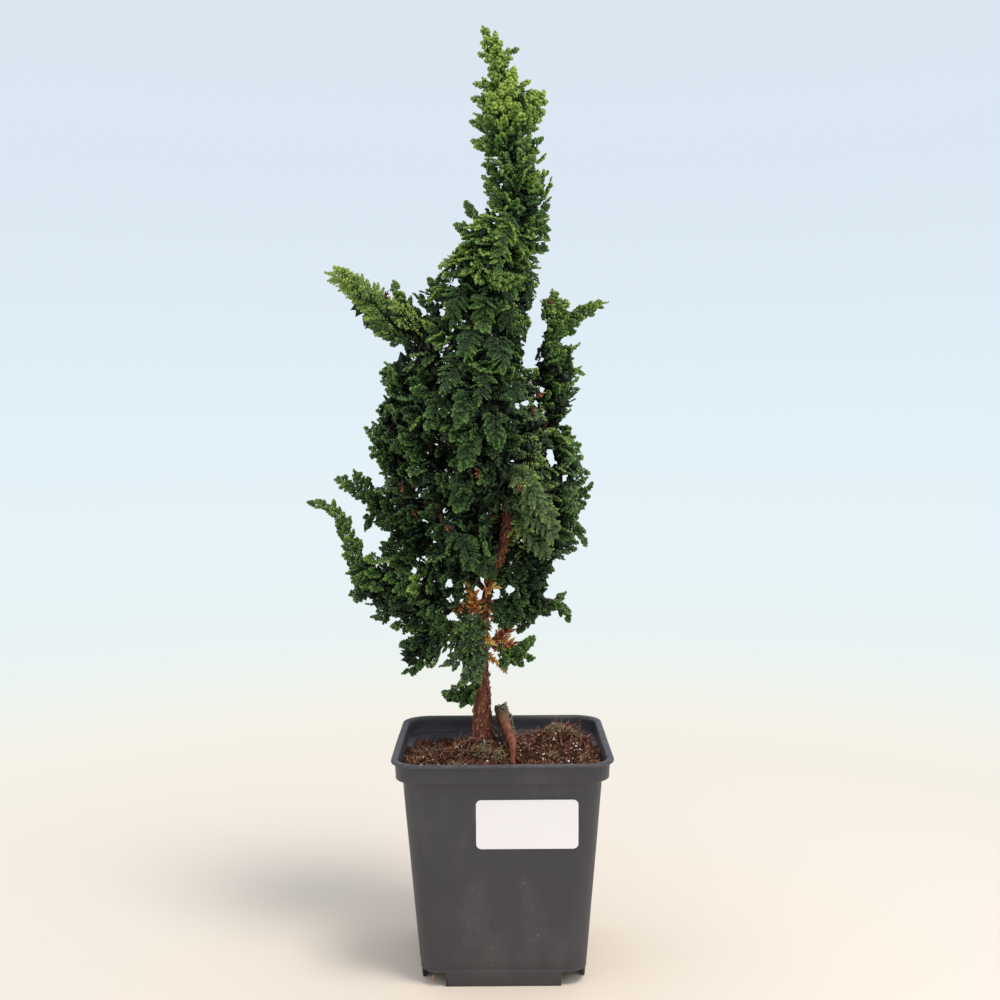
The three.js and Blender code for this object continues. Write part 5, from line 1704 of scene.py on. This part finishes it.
def depths_below(skin):
    """A function that tells how far below the crown's skin places are, in mm."""
    places, normals, owner_of = skin
    bare = np.array([GROWTH.get(name, {}) is SHOOTS_ONLY for name in SPRAYS])[owner_of]
    drawn_in = np.minimum(outline_push(places, normals), 0)
    finder = finder_of(places)

    def depth_at(place):
        _, number, apart = finder.find(place)
        if bare[number] or normals[number] @ (place - places[number]) > 0:
            return 0.0
        return apart + drawn_in[number]

    return lambda spots: np.array([depth_at(spot) for spot in spots])


def inner_leaves(rng, skin, depths):
    """Dark leaves deep inside the crown, so that little light comes through it; their near black is painted
    shade. They stay deeper in its thin upper part, and are painted lighter towards its top."""
    places, normals, owner_of = skin
    picked = rng.integers(0, len(places), INNER_LEAVES)
    spots = places[picked] - normals[picked] * rng.uniform(9, 22, (INNER_LEAVES, 1))
    headings = unit(rng.normal(0, 1, (INNER_LEAVES, 3)))
    thin = np.clip((spots[:, 2] - THIN_Z) / THIN_OVER, 0, 1)
    kept = (depths(spots) > 8.5 + 2 * thin) & (depths(spots + headings * 8) > 3 + 1.5 * thin)
    kept &= spots[:, 2] < LEAFLESS_Z
    spots = spots[kept]
    count = len(spots)
    # The painted shade eases towards the top, where the crown is thin.
    painted_lighter_up = 0.35 * np.clip((spots[:, 2] - 360) / 80, 0, 1)
    return loose_lobes(
        spots, heading=headings[kept], facing=unit(rng.normal(0, 1, (count, 3))),
        size=np.array((1.0, 4.6, 8.4)) * rng.uniform(0.8, 1.2, (count, 1)),
        tone=rng.uniform(-0.08, 0.16, count) + painted_lighter_up, owner=owner_of[picked[kept]])


def front_hit(tree, x, z):
    """What is met first from the front at x from the pot's middle and z, both in mm."""
    return tree.ray_cast(Vector((POT_X + x * MM, POT_Y - 0.3, z * MM)), Vector((0, 1, 0)))[0]


def draped_stem(tree, foot, tip):
    """A stem that comes out of the front of the crown at its foot, and hangs a little off it at its tip."""
    stem = []
    for share in (0.0, 0.35, 0.7, 1.0):
        x, z = np.array(foot) * (1 - share) + np.array(tip) * share
        hit = front_hit(tree, x, z)
        front = hit.y / MM if hit else stem[-1][1] if stem else -14.0
        stem.append((x, front + 3.5 - 6.0 * share, z))
    return tuple(stem)


def grow_crown():
    """Works out every lobe of the crown, and returns the lobes that belong to each mass."""
    rng = np.random.default_rng(20)
    tree, owners = bvh_of(SPRAYS)
    number = {name: index for index, name in enumerate(SPRAYS)}
    places, normals = crown_skin()
    owner_of = np.array([number[owners[tree.find_nearest(Vector(place * MM))[2]]] for place in places])
    skin = (places, normals, owner_of)
    families = (
        [(12.0, feather(rng, 12.0, 1.4, 3.3, 1.25)) for _ in range(4)],
        [(13.0, fan(rng, 13.0, 5.2, 1.8)) for _ in range(4)],
        [(9.0, fingers(rng, 9.0, 5.0, 2.0)) for _ in range(5)],
        [(6.0, rosette(rng, 6.0, 2.35)) for _ in range(3)],
    )
    deep = [(12.0, feather(rng, 12.0, 2.1, 4.4, 1.95)) for _ in range(3)]
    number_of = {name.replace("foliage_", ""): index for name, index in number.items()}
    outer = crown_fronds(rng, skin, *OUTER_LAYER)
    depths = depths_below(skin)
    inner = crown_fronds(rng, skin, *INNER_LAYER)
    tips = inner["base"] + inner["ahead"] * inner["reach"][:, None]
    kept = (depths(inner["base"]) > 4.0) & (depths(tips) > 4.5)
    inner = {key: values[kept] for key, values in inner.items()}
    feet = {key: np.concatenate([outer[key], inner[key]]) for key in ("base", "owner")}
    lobes = [inner_leaves(rng, skin, depths)]
    draped = [(name, draped_stem(tree, foot, tip), *style, True) for name, foot, tip, *style in DRAPED]
    for name, stem, *style in (*SHOOTS, *draped):
        fronds, stem_lobes = shoot_fronds(rng, number_of[name], stem, *style)
        outer = {key: np.concatenate([outer[key], fronds[key]]) for key in outer}
        lobes.append(stem_lobes)
    for kind, family in enumerate(families):
        pick = rng.integers(0, len(family), len(outer["kind"]))
        for index, (reach, pattern) in enumerate(family):
            chosen = (outer["kind"] == kind) & (pick == index)
            group = {key: values[chosen] for key, values in outer.items()}
            lobes.append(lay_fronds(rng, group, reach, pattern))
    pick = rng.integers(0, len(deep), len(inner["kind"]))
    for index, (reach, pattern) in enumerate(deep):
        group = {key: values[pick == index] for key, values in inner.items()}
        lobes.append(lay_fronds(rng, group, reach, pattern))
    wood = [mesh_arrays(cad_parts[name].data)[0] / MM for name in ["trunk", *WOOD]]
    lobes.append(twigs_to(feet, np.concatenate(wood)))
    together = clear_of_gaps({key: np.concatenate([part[key] for part in lobes]) for key in lobes[0]})
    for index, name in enumerate(SPRAYS):
        mine = together["owner"] == index
        yield name, {key: values[mine] for key, values in together.items() if key != "owner"}


def leaf_finish():
    """Waxy scale leaves: near black in the shade, then deep green, and yellow green on young tips."""
    material, graph = new_finish("live_scale_leaves")
    tone, along = graph.attribute("tone"), graph.attribute("along")
    bloom, rust = graph.attribute("bloom"), graph.attribute("rust")
    mottle = graph.grain(420, 3, 0.6)
    scales = graph.maths("PINGPONG", along * 3.2 + mottle * 0.8, 0.5)
    shade = graph.clamp(tone + (along - 0.5) * 0.38 + (mottle - 0.5) * 0.25 + (scales - 0.25) * 0.16)
    green = graph.ramp(
        shade,
        (0.0, (0.006, 0.014, 0.004)),
        (0.25, (0.016, 0.040, 0.009)),
        (0.50, (0.045, 0.104, 0.019)),
        (0.75, (0.125, 0.228, 0.034)),
        (1.0, (0.320, 0.430, 0.065)),
    )
    waxy = graph.blend(bloom * 0.7 * graph.step(mottle, 0.35, 0.65), green, (0.17, 0.21, 0.125))
    olive = graph.blend(mottle, (0.10, 0.12, 0.02), (0.26, 0.27, 0.06))
    brown = graph.blend(mottle, (0.035, 0.014, 0.007), (0.20, 0.075, 0.03))
    woody = graph.blend(graph.step(rust, 0.5, 0.8), olive, brown)
    colour = graph.blend(graph.step(rust, 0.1, 0.5), waxy, woody)
    relief = scales + mottle * 0.5
    graph.finish_with(graph.surface(colour, 0.45 + mottle * 0.15, relief, 0.12 * MM, specular=0.36))
    return material


leaf = leaf_finish()
for node, lobes in grow_crown():
    sprays = lobe_piece(node.replace("foliage_", "sprays_"), lobes, leaf)
    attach(sprays, "root")
    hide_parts(node)


# ---- Dead sprays ----
# Dry feathery fronds low on the trunk and on the branches' feet: red brown at first, then orange, and straw
# yellow in the end. A few scraps of them, and of brown leaf, are caught on the trunk and in the crown.
def dead_finish():
    material, graph = new_finish("dry_scale_leaves")
    mottle = graph.grain(420, 3, 0.6)
    tone, along = graph.attribute("tone"), graph.attribute("along")
    shade = graph.clamp(tone + (along - 0.5) * 0.3 + (mottle - 0.5) * 0.35)
    colour = graph.ramp(
        shade,
        (0.0, (0.055, 0.018, 0.009)),
        (0.28, (0.20, 0.046, 0.014)),
        (0.52, (0.55, 0.155, 0.034)),
        (0.75, (0.74, 0.40, 0.075)),
        (1.0, (0.78, 0.62, 0.20)),
    )
    graph.finish_with(graph.surface(colour, 0.7, mottle, 0.1 * MM))
    return material


# The stems of the dry sprays: x, y and z in mm from the pot's middle, their fronds' reach at foot and tip,
# the space between them, and their tone at foot and tip.
DEAD_SPRAYS = {
    "dead_spray_left": (((-11, -3, 183.5), (-18, -4, 184.5), (-24, -4, 185.5), (-29, -3, 187)), 5.0, 4.2,
     1.3, 0.32, 0.6),
    "dead_spray_fork": (((-13, -5, 181), (-14, -6, 188), (-15, -6, 194), (-16, -5, 199)), 4.6, 4.2, 1.3,
     0.5, 0.8),
    "dead_spray_right": (((-5, -5, 163.5), (-1, -5, 168), (3, -5, 173.5), (6.5, -4, 180)), 5.5, 4.4, 1.1,
     0.36, 0.5),
    "dead_spray_low": (((-7.5, -6, 161), (-4, -7, 157.5), (-0.5, -7, 154.5), (1.6, -7, 152)), 2.4, 1.9, 0.8,
     0.64, 0.74),
}
DEAD_SCRAPS = (
    (((-11, -8, 167), (-8, -9, 168), (-5, -9, 167)), 3.6, 2.8, 1.2, 0.7, 0.85),
    (((0, -7, 165), (3.5, -7, 166), (7, -6, 166.5)), 3.4, 2.8, 1.2, 0.5, 0.7),
    (((-7.5, -8, 190), (-6.5, -9, 183), (-7, -9, 176), (-7, -9, 170)), 3.4, 3.0, 1.8, 0.25, 0.45),
    (((-8, -8, 194), (-5, -9, 196), (-3, -9, 196)), 3.0, 2.6, 1.4, 0.8, 0.95),
    (((-5, -8, 203), (-6, -8, 199), (-7, -8, 194)), 3.6, 3.0, 2.0, 0.3, 0.5),
)
# Brown leaves caught on the front of the crown: x, z, and the lean of each.
CAUGHT = (
    (10.5, 246, 2.0), (18.8, 294, 0.2), (15.7, 288, -1.2), (-58, 344, 1.0), (-44, 236, -1.2),
    (-49, 250, -1.7), (-26.5, 230, -1.4), (-10, 257, -2.0), (27, 340, 2.4),
)


def dead_fronds(rng, stem, foot_reach, tip_reach, space, foot_tone, tip_tone):
    """The lobes of one dry spray: its fronds and its stem."""
    fronds, lobes = shoot_fronds(rng, 0, stem, foot_reach, tip_reach, space, "slim", foot_tone, tip_tone)
    fronds["tone"] += rng.normal(0, 0.12, len(fronds["tone"]))
    lobes["tone"][:] = foot_tone - 0.25
    return [lay_fronds(rng, fronds, 6.0, feather(rng, 6.0, 1.0, 2.4, 0.95)), lobes]


def caught_leaves(rng):
    """Single brown fronds that lie on the outermost sprays, as seen from the front."""
    tree, _ = bvh_of(SPRAYS)
    for x, z, lean in CAUGHT:
        hit = front_hit(tree, x, z)
        if hit:
            foot = np.array(hit[:]) / MM - HEART
            ahead = np.array([math.cos(lean), -0.4, math.sin(lean)])
            yield (foot - (0, 1.5, 0), foot + ahead * 1.2, foot + ahead * 2.4), 2.4, 1.8, 1.4, 0.05, 0.25


dry = dead_finish()
rng = np.random.default_rng(61)
dead = {name: [stem] for name, stem in DEAD_SPRAYS.items()}
dead["dead_scraps"] = [*DEAD_SCRAPS, *caught_leaves(rng)]
for name, stems in dead.items():
    parts = [part for stem in stems for part in dead_fronds(rng, *stem)]
    lobes = {key: np.concatenate([part[key] for part in parts]) for key in parts[0] if key != "owner"}
    piece = lobe_piece(name.replace("dead_spray", "dry_spray"), lobes, dry)
    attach(piece, "root")
    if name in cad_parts:
        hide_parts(name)


# ---- Bark flakes, moss and lichen ----
# Thin flakes that lift off the trunk, lichen on the dead stub and on the bark, and cushions of moss in the
# soil.
def scattered_lobes(rng, places, headings, facings, size, spread, tones):
    """Arrays of loose lobes, in mm, each scaled by up to the spread either way."""
    count = len(places)
    return loose_lobes(
        places, heading=unit(headings), facing=unit(facings),
        size=np.array(size) * rng.uniform(1 - spread, 1 + spread, (count, 1)),
        tone=rng.uniform(*tones, count), blunt=(rng.random(count) < 0.5).astype(float))


def on_wood(rng, piece, count, low, high):
    """Random places on a piece between two heights in mm, with their normals."""
    places, normals = mesh_arrays(piece.data)
    places = places / MM
    near = np.flatnonzero((places[:, 2] > low) & (places[:, 2] < high))
    picked = rng.choice(near, min(count, len(near)), replace=False)
    return places[picked], normals[picked]


def moss_finish(name, dark, light):
    material, graph = new_finish(name)
    mottle = graph.grain(900, 3, 0.6)
    tone, along = graph.attribute("tone"), graph.attribute("along")
    shade = graph.clamp(tone + along * 0.4 + (mottle - 0.5) * 0.4)
    graph.finish_with(graph.surface(graph.blend(shade, dark, light), 0.9, mottle, 0.1 * MM))
    return material


rng = np.random.default_rng(83)
places, normals = on_wood(rng, trunk, 1300, 104, 330)
drift = rng.normal(0, 0.35, places.shape) + np.where(rng.random((len(places), 1)) < 0.6, -1, 1) * (0, 0, 1)
tangent = unit(drift - normals * np.sum(drift * normals, axis=1)[:, None])
lifted = tangent + normals * rng.uniform(0.05, 0.4, (len(places), 1))
flakes = scattered_lobes(
    rng, places - normals * 0.25, lifted, normals, (0.28, 1.5, 2.6), 0.45, (0.0, 1.0))
flakes = lobe_piece("bark_flakes", flakes, bark)
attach(flakes, "root")

places, normals = on_wood(rng, stub, 700, 116, 140)
shady = (normals[:, 0] < 0.3) & (rng.random(len(places)) < 0.93)
places, normals = places[~shady], normals[~shady]
upper, upper_normals = on_wood(rng, trunk, 60, 108, 200)
places, normals = np.concatenate([places, upper]), np.concatenate([normals, upper_normals])
growth = scattered_lobes(rng, places - normals * 0.2, normals + rng.normal(0, 0.6, places.shape),
                         rng.normal(0, 1, places.shape), (0.75, 0.85, 1.3), 0.5, (0.0, 0.9))
lichen = lobe_piece("lichen", growth, moss_finish("lichen", (0.018, 0.013, 0.007), (0.38, 0.33, 0.22)))
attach(lichen, "root")

# The cushions' middles in x and y from the pot's middle, their radius and how many shoots they have.
CUSHIONS = (
    (-37, 12, 4.5, 110), (-9, -8, 7, 360), (-1, -13, 5, 160), (26, -8, 3.5, 70), (38, 25, 5, 120),
    (29, 27, 5, 240), (-24, -24, 3.5, 50), (44, -2, 3, 50),
)


def moss_places(rng):
    """Places on the soil within each cushion of moss, in mm."""
    for x, y, radius, count in CUSHIONS:
        for dx, dy in rng.normal(0, radius * 0.5, (count, 2)):
            hit = plumb(SOIL_TREE, x + dx, y + dy)
            if hit:
                swell = 1.6 * math.exp(-2 * (dx * dx + dy * dy) / radius ** 2)
                yield hit.x / MM, hit.y / MM, hit.z / MM + swell * rng.uniform(0.2, 1) - 0.2


places = np.array(list(moss_places(rng)))
upward = np.tile((0, 0, 0.9), (len(places), 1)) + rng.normal(0, 0.6, places.shape)
facings = rng.normal(0, 1, places.shape)
tufts = scattered_lobes(rng, places, upward, facings, (0.5, 0.6, 1.25), 0.4, (0.0, 0.7))
moss = lobe_piece("moss", tufts, moss_finish("moss", (0.030, 0.016, 0.007), (0.38, 0.30, 0.155)))
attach(moss, "root")


# ---- Hand over ----
# The visual model's box beside the CAD model's, both as lowest and highest corners in metres.
corners = {"cad": cad_bounds, "visual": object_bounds()}
{key: [list(corner) for corner in box] for key, box in corners.items()}
